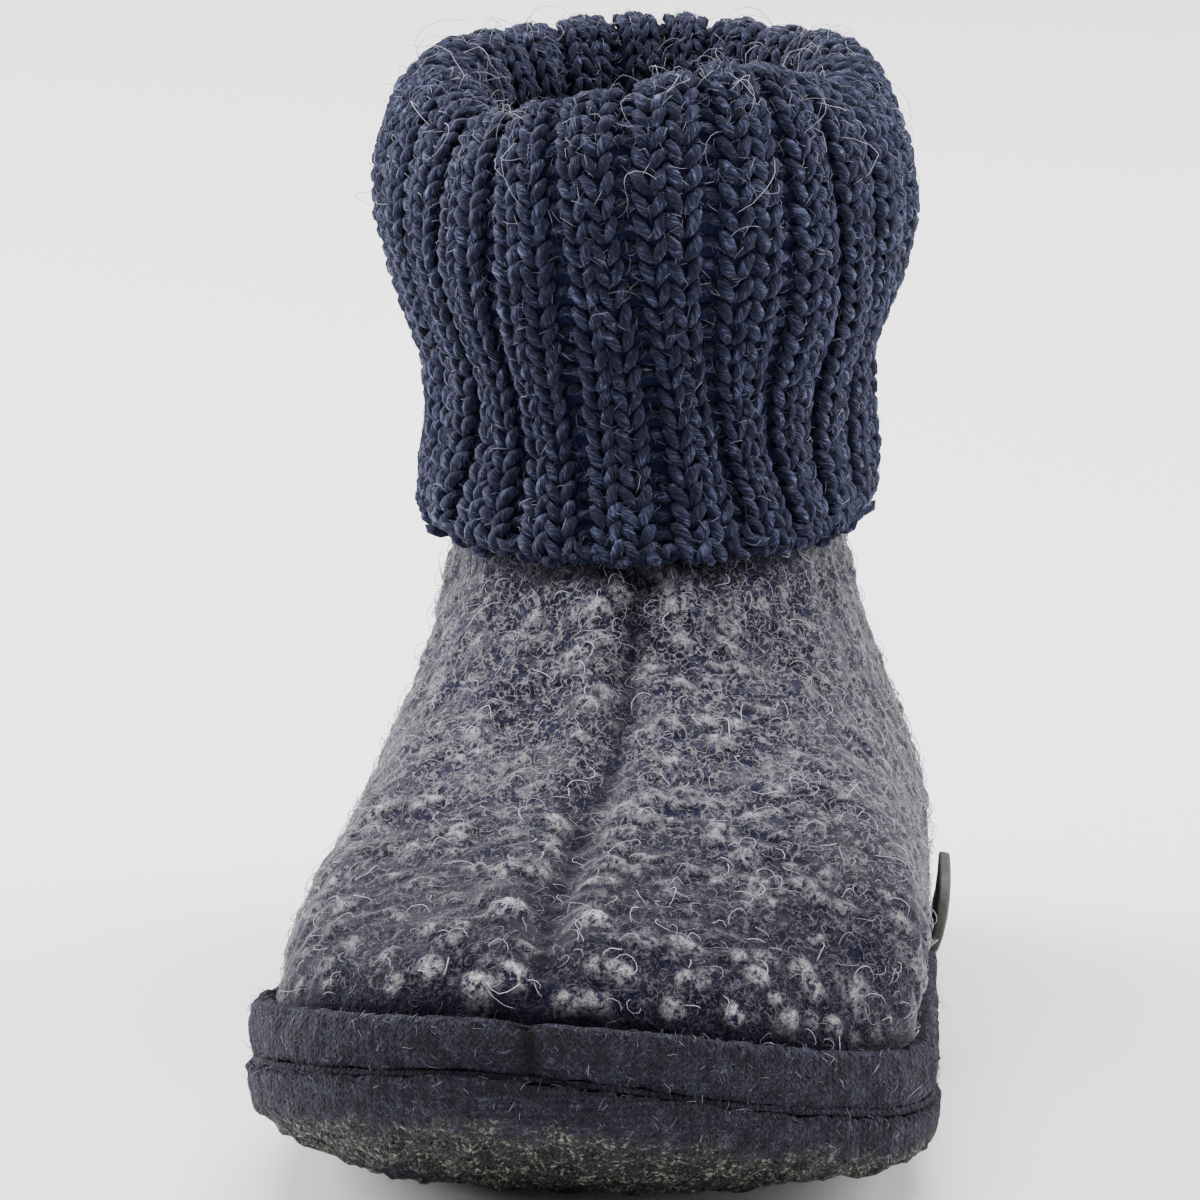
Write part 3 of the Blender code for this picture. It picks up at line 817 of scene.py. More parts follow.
def boiled_wool(colours):
    """Boiled wool: knitted loops felted in hot water. Navy ground with paler
    knots of curled fibre, quite matt."""
    material, tree, shader = new_material("boiled_wool")
    place = add(tree, "ShaderNodeTexCoord").outputs["Object"]
    # Patches are longer from toe to heel, as the cloth stretches that way
    longer = {0: place, 1: (1.0, 0.45, 1.0)}
    place = add(tree, "ShaderNodeVectorMath", MULTIPLY, longer).outputs[0]
    knot = add(tree, "ShaderNodeAttribute", {"attribute_name": "knot"}).outputs["Fac"]
    trough = add(tree, "ShaderNodeAttribute", {"attribute_name": "trough"}).outputs["Fac"]
    noise_inputs = {"Vector": place, "Scale": 1 / (6 * MM), "Detail": 3.0, "Roughness": 0.6}
    mottle = add(tree, "ShaderNodeTexNoise", None, noise_inputs).outputs["Fac"]
    noise_inputs = {"Vector": place, "Scale": 1 / (0.9 * MM), "Detail": 3.0, "Roughness": 0.7}
    curl = add(tree, "ShaderNodeTexNoise", None, noise_inputs).outputs["Fac"]
    # Curled fibres, a few times as coarse as real ones, so that they show
    large = fibre_lines(tree, place, 1.4 * MM, 0.040)
    small = fibre_lines(tree, place, 0.8 * MM, 0.048)
    either = {"operation": "MAXIMUM"}
    lines = add(tree, "ShaderNodeMath", either, {0: large, 1: small}).outputs[0]
    navy = tuple(colours.navy)
    grey = tuple(colours.grey)
    stops = ((0.38, toned(navy, 0.3)), (0.54, toned(navy, 0.9)), (0.72, toned(grey, 0.25)))
    ground = add(tree, "ShaderNodeValToRGB", None, {"Fac": mottle}, stops).outputs["Color"]
    # Darkest in the hollows of the curl bump: painted shade
    stops = ((0.42, toned(navy, 0.1)), (0.54, toned(navy, 0.9)), (0.70, toned(grey, 0.5)))
    streak = add(tree, "ShaderNodeValToRGB", None, {"Fac": curl}, stops).outputs["Color"]
    stops = ((0.40, toned(navy, 1.0)), (0.50, toned(grey, 0.8)), (0.62, toned(grey, 1.6)))
    tuft = add(tree, "ShaderNodeValToRGB", None, {"Fac": curl}, stops).outputs["Color"]
    colour = add(tree, "ShaderNodeMix", COLOURS, {0: 0.55, 6: ground, 7: streak}).outputs[2]
    # Painted shade: darker towards the toe, with fewer pale fibre lines there
    toe = add(tree, "ShaderNodeAttribute", {"attribute_name": "toe"}).outputs["Fac"]
    share = add(tree, "ShaderNodeMath", MULTIPLY, {0: toe, 1: 0.6}).outputs[0]
    colour = add(tree, "ShaderNodeMix", COLOURS, {0: share, 6: colour, 7: toned(navy, 0.25)}).outputs[2]
    share = add(tree, "ShaderNodeMath", MULTIPLY_ADD, {0: toe, 1: -0.40, 2: 0.64})
    share = add(tree, "ShaderNodeMath", MULTIPLY, {0: lines, 1: share.outputs[0]})
    inputs = {0: share.outputs[0], 6: colour, 7: toned(grey, 0.85)}
    colour = add(tree, "ShaderNodeMix", COLOURS, inputs).outputs[2]
    colour = add(tree, "ShaderNodeMix", COLOURS, {0: knot, 6: colour, 7: tuft}).outputs[2]
    # Painted shade in the seam's trough and where the wool meets the rand and the hem
    colour = add(tree, "ShaderNodeMix", COLOURS, {0: trough, 6: colour, 7: toned(navy, 0.3)}).outputs[2]
    # Paler where the cloth turns away from the view: partly the fibres that stand off it, partly painted
    # rim light
    away = add(tree, "ShaderNodeLayerWeight", None, {"Blend": 0.35}).outputs["Facing"]
    away = add(tree, "ShaderNodeMath", {"operation": "POWER"}, {0: away, 1: 4.5}).outputs[0]
    colour = add(tree, "ShaderNodeMix", COLOURS, {0: away, 6: colour, 7: grey}).outputs[2]
    tree.links.new(colour, shader.inputs["Base Color"])
    inputs = {"Height": curl, "Distance": 0.8 * MM, "Strength": 1.0}
    low = add(tree, "ShaderNodeBump", None, inputs).outputs["Normal"]
    inputs = {"Height": lines, "Distance": 0.20 * MM, "Strength": 0.9, "Normal": low}
    normal = add(tree, "ShaderNodeBump", None, inputs).outputs["Normal"]
    tree.links.new(normal, shader.inputs["Normal"])
    set_cloth(shader, 0.95, 0.06, linear("#aaa8b8"), 0.05)
    return material


def wool_fibre(name, dark, middle, pale):
    """Loose wool fibre: a scaly hair that catches the light, each a little
    different from the next, and paler where it springs from a pale knot."""
    material, tree, shader = new_material(name)
    shade = add(tree, "ShaderNodeAttribute", {"attribute_name": "shade"}).outputs["Fac"]
    knot = add(tree, "ShaderNodeAttribute", {"attribute_name": "knot"}).outputs["Fac"]
    inputs = {0: knot, 1: 0.35, 2: shade}
    tone = add(tree, "ShaderNodeMath", MULTIPLY_ADD, inputs).outputs[0]
    stops = ((0.10, dark), (0.55, middle), (1.0, pale))
    colour = add(tree, "ShaderNodeValToRGB", None, {"Fac": tone}, stops).outputs["Color"]
    tree.links.new(colour, shader.inputs["Base Color"])
    set_cloth(shader, 0.65, 0.2, linear("#c8c8d2"), 0.35)
    return material


def rib_yarn(colours):
    """Two-ply wool yarn, spun and dyed: navy with a melange of lighter hairs that
    lie along each leg of a stitch and slant round it with the twist of the plies."""
    material, tree, shader = new_material("rib_yarn")
    place = add(tree, "ShaderNodeTexCoord").outputs["Object"]
    along = add(tree, "ShaderNodeUVMap", {"uv_map": "UVMap"}).outputs["UV"]
    shade = add(tree, "ShaderNodeAttribute", {"attribute_name": "shade"}).outputs["Fac"]
    parts = add(tree, "ShaderNodeSeparateXYZ", None, {0: along}).outputs
    twisted = add(tree, "ShaderNodeMath", {"operation": "ADD"}, {0: parts[0], 1: parts[1]})
    # Hairs 0.3 mm wide and 1.3 mm long on a yarn 4.2 mm round, ten times as coarse as
    # real ones, so that they show
    round_it = add(tree, "ShaderNodeMath", MULTIPLY, {0: twisted.outputs[0], 1: 15.0}).outputs[0]
    down_it = add(tree, "ShaderNodeMath", MULTIPLY, {0: parts[1], 1: 3.2}).outputs[0]
    apart = add(tree, "ShaderNodeMath", MULTIPLY, {0: shade, 1: 41.0}).outputs[0]
    grid = add(tree, "ShaderNodeCombineXYZ", None, {0: round_it, 1: down_it, 2: apart}).outputs[0]
    noise_inputs = {"Vector": grid, "Scale": 1.0, "Detail": 2.0, "Roughness": 0.7}
    hairs = add(tree, "ShaderNodeTexNoise", None, noise_inputs).outputs["Fac"]
    noise_inputs = {"Vector": place, "Scale": 1 / (1.6 * MM), "Detail": 2.0, "Roughness": 0.6}
    melange = add(tree, "ShaderNodeTexNoise", None, noise_inputs).outputs["Fac"]
    inputs = {0: melange, 1: 0.35, 2: hairs}
    tone = add(tree, "ShaderNodeMath", MULTIPLY_ADD, inputs).outputs[0]
    dark = tuple(colours.yarn)
    pale = tuple(colours.yarn_fleck)
    stops = ((0.50, toned(dark, 0.5)), (0.68, dark), (0.84, toned(pale, 0.75)), (0.95, toned(pale, 1.4)))
    colour = add(tree, "ShaderNodeValToRGB", None, {"Fac": tone}, stops).outputs["Color"]
    # Single pale hairs, on a grid of about 0.6 by 1.9 mm
    round_it = add(tree, "ShaderNodeMath", MULTIPLY, {0: twisted.outputs[0], 1: 7.0}).outputs[0]
    down_it = add(tree, "ShaderNodeMath", MULTIPLY, {0: parts[1], 1: 2.2}).outputs[0]
    grid = add(tree, "ShaderNodeCombineXYZ", None, {0: round_it, 1: down_it, 2: apart}).outputs[0]
    lines = fibre_lines(tree, grid, 1.0, 0.06)
    span = {"Value": melange, "From Min": 0.45, "From Max": 0.65, "To Min": 0.0, "To Max": 0.75}
    patch = add(tree, "ShaderNodeMapRange", None, span).outputs[0]
    share = add(tree, "ShaderNodeMath", MULTIPLY, {0: lines, 1: patch}).outputs[0]
    inputs = {0: share, 6: colour, 7: toned(pale, 3.0)}
    colour = add(tree, "ShaderNodeMix", COLOURS, inputs).outputs[2]
    tree.links.new(colour, shader.inputs["Base Color"])
    inputs = {"Height": hairs, "Distance": 0.45 * MM, "Strength": 1.0}
    low = add(tree, "ShaderNodeBump", None, inputs).outputs["Normal"]
    inputs = {"Height": lines, "Distance": 0.10 * MM, "Strength": 0.8, "Normal": low}
    normal = add(tree, "ShaderNodeBump", None, inputs).outputs["Normal"]
    tree.links.new(normal, shader.inputs["Normal"])
    set_cloth(shader, 0.85, 0.2, linear("#8a90b4"))
    return material


def shaded_wool(colours):
    """The same wool in the shade behind and between the stitches."""
    material, tree, shader = new_material("shaded_wool")
    place = add(tree, "ShaderNodeTexCoord").outputs["Object"]
    noise_inputs = {"Vector": place, "Scale": 1 / (0.8 * MM), "Detail": 3.0, "Roughness": 0.7}
    melange = add(tree, "ShaderNodeTexNoise", None, noise_inputs).outputs["Fac"]
    dark = tuple(colours.yarn)
    stops = ((0.35, toned(dark, 1.0)), (0.70, toned(dark, 2.4)))
    colour = add(tree, "ShaderNodeValToRGB", None, {"Fac": melange}, stops).outputs["Color"]
    tree.links.new(colour, shader.inputs["Base Color"])
    inputs = {"Height": melange, "Distance": 0.4 * MM, "Strength": 0.9}
    normal = add(tree, "ShaderNodeBump", None, inputs).outputs["Normal"]
    tree.links.new(normal, shader.inputs["Normal"])
    set_cloth(shader, 0.95, 0.2, linear("#70748c"))
    return material


def close_knit(name, colours):
    """Close stocking stitch in dark yarn. Where the sole turns under, it is
    dipped in latex: black, a little glossy, with pale specks in it.
    The stitches are drawn 0.85 mm wide, about twice their size, so that they show."""
    material, tree, shader = new_material(name)
    place = add(tree, "ShaderNodeTexCoord").outputs["Object"]
    cell = add(tree, "ShaderNodeUVMap", {"uv_map": "UVMap"}).outputs["UV"]
    latex = add(tree, "ShaderNodeAttribute", {"attribute_name": "latex"}).outputs["Fac"]
    seam = add(tree, "ShaderNodeAttribute", {"attribute_name": "seam"}).outputs["Fac"]
    noise_inputs = {"Vector": place, "Scale": 1 / (1.4 * MM), "Detail": 2.0, "Roughness": 0.6}
    wander = add(tree, "ShaderNodeTexNoise", None, noise_inputs).outputs["Color"]
    inputs = {0: wander, 1: (0.6, 0.6, 0.0), 2: cell}
    loose = add(tree, "ShaderNodeVectorMath", MULTIPLY_ADD, inputs).outputs[0]
    parts = add(tree, "ShaderNodeSeparateXYZ", None, {0: loose})
    wale = add(tree, "ShaderNodeMath", {"operation": "PINGPONG"}, {0: parts.outputs[0], 1: 0.5})
    row = {0: wale.outputs[0], 1: 1.2, 2: parts.outputs[1]}
    slant = add(tree, "ShaderNodeMath", MULTIPLY_ADD, row)
    leg = add(tree, "ShaderNodeMath", {"operation": "PINGPONG"}, {0: slant.outputs[0], 1: 0.5})
    gully = {0: wale.outputs[0], 1: leg.outputs[0]}
    stitch = add(tree, "ShaderNodeMath", MULTIPLY, gully).outputs[0]
    stitch = add(tree, "ShaderNodeMath", MULTIPLY, {0: stitch, 1: 4.0}).outputs[0]
    noise_inputs = {"Vector": place, "Scale": 1 / (1.8 * MM), "Detail": 4.0, "Roughness": 0.7}
    melange = add(tree, "ShaderNodeTexNoise", None, noise_inputs).outputs["Fac"]
    noise_inputs = {"Vector": place, "Scale": 1 / (0.4 * MM), "Detail": 2.0, "Roughness": 0.75}
    hairs = add(tree, "ShaderNodeTexNoise", None, noise_inputs).outputs["Fac"]
    lines = fibre_lines(tree, place, 0.6 * MM, 0.055)
    # Darker in the stitches' gullies and lighter on their crests, with the stitch bump: painted shade
    # and painted light
    inputs = {0: stitch, 1: 0.40, 2: melange}
    tone = add(tree, "ShaderNodeMath", MULTIPLY_ADD, inputs).outputs[0]
    dark = tuple(colours.sole_yarn)
    stops = ((0.45, toned(dark, 0.35)), (0.64, dark), (0.92, toned(dark, 2.8)))
    yarn = add(tree, "ShaderNodeValToRGB", None, {"Fac": tone}, stops).outputs["Color"]
    span = {"Value": melange, "From Min": 0.40, "From Max": 0.65, "To Min": 0.1, "To Max": 0.8}
    patch = add(tree, "ShaderNodeMapRange", None, span).outputs[0]
    share = add(tree, "ShaderNodeMath", MULTIPLY, {0: lines, 1: patch}).outputs[0]
    yarn = add(tree, "ShaderNodeMix", COLOURS, {0: share, 6: yarn, 7: linear("#4e4d5c")}).outputs[2]
    # Painted shade in the dent of the seam down the rand
    yarn = add(tree, "ShaderNodeMix", COLOURS, {0: seam, 6: yarn, 7: toned(dark, 0.12)}).outputs[2]
    black = tuple(colours.latex)
    stops = ((0.42, toned(black, 0.2)), (0.58, black), (0.72, toned(black, 6.0)))
    rubber = add(tree, "ShaderNodeValToRGB", None, {"Fac": hairs}, stops).outputs["Color"]
    noise_inputs = {"Vector": place, "Scale": 1 / (0.55 * MM), "Detail": 2.0, "Roughness": 0.8}
    speck_noise = add(tree, "ShaderNodeTexNoise", None, noise_inputs).outputs["Fac"]
    inputs = {0: melange, 1: 0.6, 2: speck_noise}
    speck = add(tree, "ShaderNodeMath", MULTIPLY_ADD, inputs).outputs[0]
    stops = ((0.85, (0, 0, 0, 1)), (0.96, (0.95, 0.95, 0.95, 1)))
    bright = add(tree, "ShaderNodeValToRGB", None, {"Fac": speck}, stops).outputs["Color"]
    speckled = add(tree, "ShaderNodeMix", COLOURS, {0: bright, 6: rubber, 7: linear("#88867a")})
    inputs = {0: latex, 6: yarn, 7: speckled.outputs[2]}
    colour = add(tree, "ShaderNodeMix", COLOURS, inputs).outputs[2]
    tree.links.new(colour, shader.inputs["Base Color"])
    inputs = {"Value": latex, "From Min": 0.0, "From Max": 1.0, "To Min": 0.92, "To Max": 0.55}
    rough = add(tree, "ShaderNodeMapRange", None, inputs).outputs[0]
    inputs = {"Height": stitch, "Distance": 0.9 * MM, "Strength": 1.0}
    low = add(tree, "ShaderNodeBump", None, inputs).outputs["Normal"]
    inputs = {"Height": lines, "Distance": 0.15 * MM, "Strength": 0.9, "Normal": low}
    low = add(tree, "ShaderNodeBump", None, inputs).outputs["Normal"]
    inputs = {"Height": hairs, "Distance": 0.2 * MM, "Strength": 1.0, "Normal": low}
    normal = add(tree, "ShaderNodeBump", None, inputs).outputs["Normal"]
    tree.links.new(normal, shader.inputs["Normal"])
    set_cloth(shader, 0.9, 0.06, linear("#8c8ca0"), 0.3)
    tree.links.new(rough, shader.inputs["Roughness"])
    return material


def wool_felt(colours):
    """Pressed wool felt of the footbed: matt, grey, faintly cloudy."""
    material, tree, shader = new_material("wool_felt")
    place = add(tree, "ShaderNodeTexCoord").outputs["Object"]
    noise_inputs = {"Vector": place, "Scale": 1 / (5 * MM), "Detail": 4.0, "Roughness": 0.65}
    cloud = add(tree, "ShaderNodeTexNoise", None, noise_inputs).outputs["Fac"]
    noise_inputs = {"Vector": place, "Scale": 1 / (0.5 * MM), "Detail": 3.0, "Roughness": 0.7}
    hairs = add(tree, "ShaderNodeTexNoise", None, noise_inputs).outputs["Fac"]
    felt = tuple(colours.felt)
    stops = ((0.30, toned(felt, 0.6)), (0.70, toned(felt, 1.3)))
    colour = add(tree, "ShaderNodeValToRGB", None, {"Fac": cloud}, stops).outputs["Color"]
    tree.links.new(colour, shader.inputs["Base Color"])
    inputs = {"Height": hairs, "Distance": 0.25 * MM, "Strength": 0.8}
    normal = add(tree, "ShaderNodeBump", None, inputs).outputs["Normal"]
    tree.links.new(normal, shader.inputs["Normal"])
    set_cloth(shader, 0.95, 0.3, linear("#9a9aac"))
    return material


def bare_leather(colours):
    """Thin vegetable-tanned leather, bare: olive grey with a fine grain."""
    material, tree, shader = new_material("bare_leather")
    place = add(tree, "ShaderNodeTexCoord").outputs["Object"]
    inputs = {"Vector": place, "Scale": 1 / (0.7 * MM), "Randomness": 1.0}
    grain = add(tree, "ShaderNodeTexVoronoi", None, inputs).outputs["Distance"]
    noise_inputs = {"Vector": place, "Scale": 1 / (3 * MM), "Detail": 3.0, "Roughness": 0.6}
    cloud = add(tree, "ShaderNodeTexNoise", None, noise_inputs).outputs["Fac"]
    leather = tuple(colours.leather)
    stops = ((0.30, toned(leather, 0.65)), (0.70, toned(leather, 1.3)))
    colour = add(tree, "ShaderNodeValToRGB", None, {"Fac": cloud}, stops).outputs["Color"]
    tree.links.new(colour, shader.inputs["Base Color"])
    inputs = {"Height": grain, "Distance": 0.08 * MM, "Strength": 0.6}
    normal = add(tree, "ShaderNodeBump", None, inputs).outputs["Normal"]
    tree.links.new(normal, shader.inputs["Normal"])
    shader.inputs["Roughness"].default_value = 0.6
    return material


# What a user would change


def colour_setting(name, code, description):
    return FloatVectorProperty(
        name=name, description=description, subtype="COLOR", size=4, min=0, max=1, default=linear(code)
    )


def size_setting(name, millimetres, description):
    return FloatProperty(
        name=name, description=description, unit="LENGTH", min=0, precision=5, default=millimetres * MM
    )


class SlipperColours(bpy.types.PropertyGroup):
    """Colours of the slipper's wools, felt, latex and leather"""

    navy: colour_setting("Navy wool", "#1c1a33", "Dark ground of the boiled wool")
    grey: colour_setting("Grey wool", "#8c8b8e", "Pale knots in the boiled wool")
    hair: colour_setting("Loose hair", "#83828e", "Loose fibres on the boiled wool")
    yarn: colour_setting("Cuff yarn", "#10132a", "Main colour of the rib yarn")
    yarn_fleck: colour_setting("Yarn fleck", "#3c4058", "Lighter hairs in the rib yarn")
    sole_yarn: colour_setting("Sole yarn", "#191828", "Knit of the rand and the sole")
    latex: colour_setting("Latex", "#1e1e1c", "Coating of the underside")
    felt: colour_setting("Felt", "#3a3a46", "Footbed")
    leather: colour_setting("Leather", "#3b3932", "Bare tab on the outer side")


class SlipperKnit(bpy.types.PropertyGroup):
    """Sizes of the rib-knit cuff"""

    ribs: IntProperty(name="Ribs", description="Ribs round the ankle", default=24, min=8, max=60)
    course: size_setting("Row height", 2.05, "Height of one row of stitches")
    wale: size_setting("Stitch width", 3.15, "Width of one column of knit stitches")
    yarn: size_setting("Yarn thickness", 1.35, "Thickness of the cuff's yarn")
    rib_depth: size_setting("Rib depth", 1.35, "How far the gutters lie below the ribs")
    proud: size_setting("Proud", 0.1, "How far the ribs stand off the packed surface")
    lean: FloatProperty(name="Lean", description="Ribs' slant, in ribs", default=0.9)
    hairs: IntProperty(name="Hairs", description="Loose hairs per square cm", default=168, min=0)


class SlipperWool(bpy.types.PropertyGroup):
    """Sizes of the boiled wool upper"""

    grain: size_setting("Mesh size", 0.72, "Spacing of the upper's mesh points")
    knot: size_setting("Knot size", 1.25, "Radius of the raised knots")
    knot_height: size_setting("Knot height", 0.75, "Height of the raised knots")
    knots: IntProperty(name="Knots", description="Knots strewn over the upper", default=1000, min=0)
    seam_depth: size_setting("Seam depth", 1.4, "Depth of the sunken centre seam")
    seam_width: size_setting("Seam width", 2.0, "Half the width of the centre seam")
    fibre: size_setting("Fibre thickness", 0.09, "Thickness of the loose fibres")
    hairs: IntProperty(name="Hairs", description="Loose hairs per square cm", default=38, min=0)


# The cuff


def cuff_settings(context):
    scene = context.scene
    return CuffShape(scene.slipper_knit), scene.slipper_knit, scene.slipper_colours


def rib_places(shape, columns_per_rib, rows):
    """Rib numbers and shares along the knit for an even net over the cuff."""
    columns = shape.knit.ribs * columns_per_rib
    rib = np.repeat(np.arange(columns) / columns_per_rib, rows)
    along = np.tile(np.linspace(0, 1, rows), columns)
    return rib, along, columns


def net_faces(columns, rows):
    """Faces of a net that is closed round the ankle."""
    faces = []
    for i in range(columns):
        a = i * rows
        b = (i + 1) % columns * rows
        for j in range(rows - 1):
            faces.append((a + j, b + j, b + j + 1, a + j + 1))
    return faces


class SLIPPER_OT_cuff_ground(bpy.types.Operator):
    """Makes the dark wool behind the cuff's stitches"""

    bl_idname = "slipper.cuff_ground"
    bl_label = "Cuff ground"

    BEHIND = 0.75 * MM
    THICK = 0.8 * MM
    ROWS = 60
    COLUMNS_PER_RIB = 5
    # It begins this share of the way along the knit, behind the first stitches
    HEM = 0.02

    def execute(self, context):
        shape, _, colours = cuff_settings(context)
        rows = self.ROWS
        rib, along, columns = rib_places(shape, self.COLUMNS_PER_RIB, rows)
        along = mixed(self.HEM, 1.0, along)
        top = shape.ribbed(rib, along)
        outward, _ = shape.frames(shape.ribbed, rib, along)
        front = top - outward * self.BEHIND
        back = front - outward * self.THICK
        count = len(front)
        faces = net_faces(columns, rows)
        faces += [tuple(count + k for k in reversed(face)) for face in net_faces(columns, rows)]
        for i in range(columns):
            a = i * rows
            b = (i + 1) % columns * rows
            faces.append((b, a, count + a, count + b))
            a += rows - 1
            b += rows - 1
            faces.append((a, b, count + b, count + a))
        mesh = mesh_of("cuff_ground", np.concatenate([front, back]), faces)
        finish_piece(linked("cuff_ground", mesh), shaded_wool(colours), ["cuff"])
        return {"FINISHED"}


class SLIPPER_OT_cuff_knit(bpy.types.Operator):
    """Knits the cuff: two columns of V stitches on each rib, one of bars between"""

    bl_idname = "slipper.cuff_knit"
    bl_label = "Cuff knit"

    # Columns of stitches in a rib: place in the rib, and whether a knit stitch
    COLUMNS = ((-0.195, True), (0.195, True), (0.5, False))
    SINK = 0.55 * MM
    # Share of the way along the knit where one piece ends and the next begins
    PARTING = 0.48

    def execute(self, context):
        shape, knit, colours = cuff_settings(context)
        rng = np.random.default_rng(SEED_STITCHES)
        material = rib_yarn(colours)
        bag = stitch_bag(knit)
        tree = stitch_tree()
        halves = {"cuff_outer_knit": [], "cuff_fold_knit": []}
        for row in range(shape.courses):
            along = (row + 0.5) / shape.courses
            half = "cuff_outer_knit" if along < self.PARTING else "cuff_fold_knit"
            for rib in range(knit.ribs):
                for place, is_knit in self.COLUMNS:
                    kind = rng.integers(0, KNIT_KINDS if is_knit else PURL_KINDS)
                    which = int(kind) + (0 if is_knit else KNIT_KINDS)
                    halves[half].append((rib + place, along, which))
        pitch = shape.girth / knit.ribs
        for name, stitches in halves.items():
            data = np.array(stitches)
            rib = data[:, 0]
            along = data[:, 1]
            which = data[:, 2].astype(int)
            outward, upward = shape.frames(shape.ribbed, rib, along)
            points = shape.ribbed(rib, along) - outward * self.SINK
            beside = shape.ribbed(rib + 0.5, along) - shape.ribbed(rib - 0.5, along)
            wide = np.linalg.norm(beside, axis=1) / pitch
            stretch = np.stack([wide, np.ones(len(wide)), np.sqrt(wide)], axis=1)
            mesh = mesh_of(name, points, [])
            store(mesh, "outward", outward)
            store(mesh, "upward", upward)
            store(mesh, "stretch", stretch)
            store(mesh, "which", which.astype(np.int32))
            thing = linked(name, mesh)
            run_tree(thing, tree, {"Bag": bag, "Seed": SEED_STITCHES, "Material": material})
            finish_piece(thing)
        empty_bag(bag)
        return {"FINISHED"}


class SLIPPER_OT_cuff_hairs(bpy.types.Operator):
    """Strews loose hairs over the cuff, with a few long ones at its rim"""

    bl_idname = "slipper.cuff_hairs"
    bl_label = "Cuff hairs"

    # Shares of the way along the knit: the rim, its half width, and where the inside
    # loses its hairs
    RIM = 0.545
    RIM_WIDTH = 0.13
    INSIDE = (0.62, 0.80)
    ROWS = 120
    COLUMNS_PER_RIB = 6
    # What curl_bag takes for the short hairs and for the long ones at the rim. They
    # are about twice as thick as real hairs, so that they show
    SHORT = (16, (1.2 * MM, 3.0 * MM), 0.9 * MM, 1.2 * MM, 3, 0.07 * MM)
    LONG = (12, (4 * MM, 10 * MM), 2.2 * MM, 2.6 * MM, 10, 0.08 * MM)
    SHORT_SIZES = (0.7, 1.3)
    LONG_SIZES = (0.6, 1.2)
    LONG_PER_SQUARE_CM = 8.0

    def execute(self, context):
        shape, knit, colours = cuff_settings(context)
        rib, along, columns = rib_places(shape, self.COLUMNS_PER_RIB, self.ROWS)
        faces = net_faces(columns, self.ROWS)
        mesh = mesh_of("cuff_hair_net", shape.ribbed(rib, along), faces)
        rim = np.exp(-(((along - self.RIM) / self.RIM_WIDTH) ** 2))
        store(mesh, "nap", (0.5 + 0.5 * rim) * (1 - eased(along, *self.INSIDE)))
        middle = toned(colours.yarn_fleck, 1.5)
        dark = wool_fibre("yarn_hair", toned(colours.yarn, 1.2), middle, colours.hair)
        short = curl_bag("short_curl", *self.SHORT, SEED_CURLS)
        sizes = self.SHORT_SIZES
        nap_piece("cuff_hairs", mesh, knit.hairs, short, sizes, SEED_CUFF_NAP, dark)
        mesh.attributes.remove(mesh.attributes["nap"])
        store(mesh, "nap", rim)
        # The long hairs at the rim are drawn paler than the short ones: painted light, for the pale fuzz
        # that the top light makes on the rim
        middle = toned(colours.hair, 0.9)
        pale = wool_fibre("rim_hair", colours.yarn_fleck, middle, toned(colours.hair, 1.5))
        long = curl_bag("long_curl", *self.LONG, SEED_CURLS + 1)
        sizes = self.LONG_SIZES
        hairs = self.LONG_PER_SQUARE_CM
        nap_piece("rim_hairs", mesh, hairs, long, sizes, SEED_CUFF_NAP + 1, pale)
        bpy.data.meshes.remove(mesh)
        empty_bag(short)
        empty_bag(long)
        return {"FINISHED"}


# The upper


# Places of the sunken centre seam in the camera's picture, from the hem to the toe
SEAM_LINE = (
    (640, 540), (636, 580), (632, 640), (628, 690), (620, 725), (611, 765), (598, 795),
    (580, 830), (568, 862), (553, 895), (546, 930), (540, 965), (533, 1000), (530, 1025),
)
# Soft creases in the camera's picture: the line, its depth and its half width
CREASES = (
    (((455, 560), (500, 600), (560, 640)), 0.7 * MM, 3.0 * MM),
    (((840, 560), (790, 610), (720, 655)), 0.7 * MM, 3.0 * MM),
    (((430, 690), (480, 720), (540, 735)), 0.5 * MM, 3.0 * MM),
    (((880, 680), (820, 735), (750, 765)), 0.5 * MM, 3.5 * MM),
)
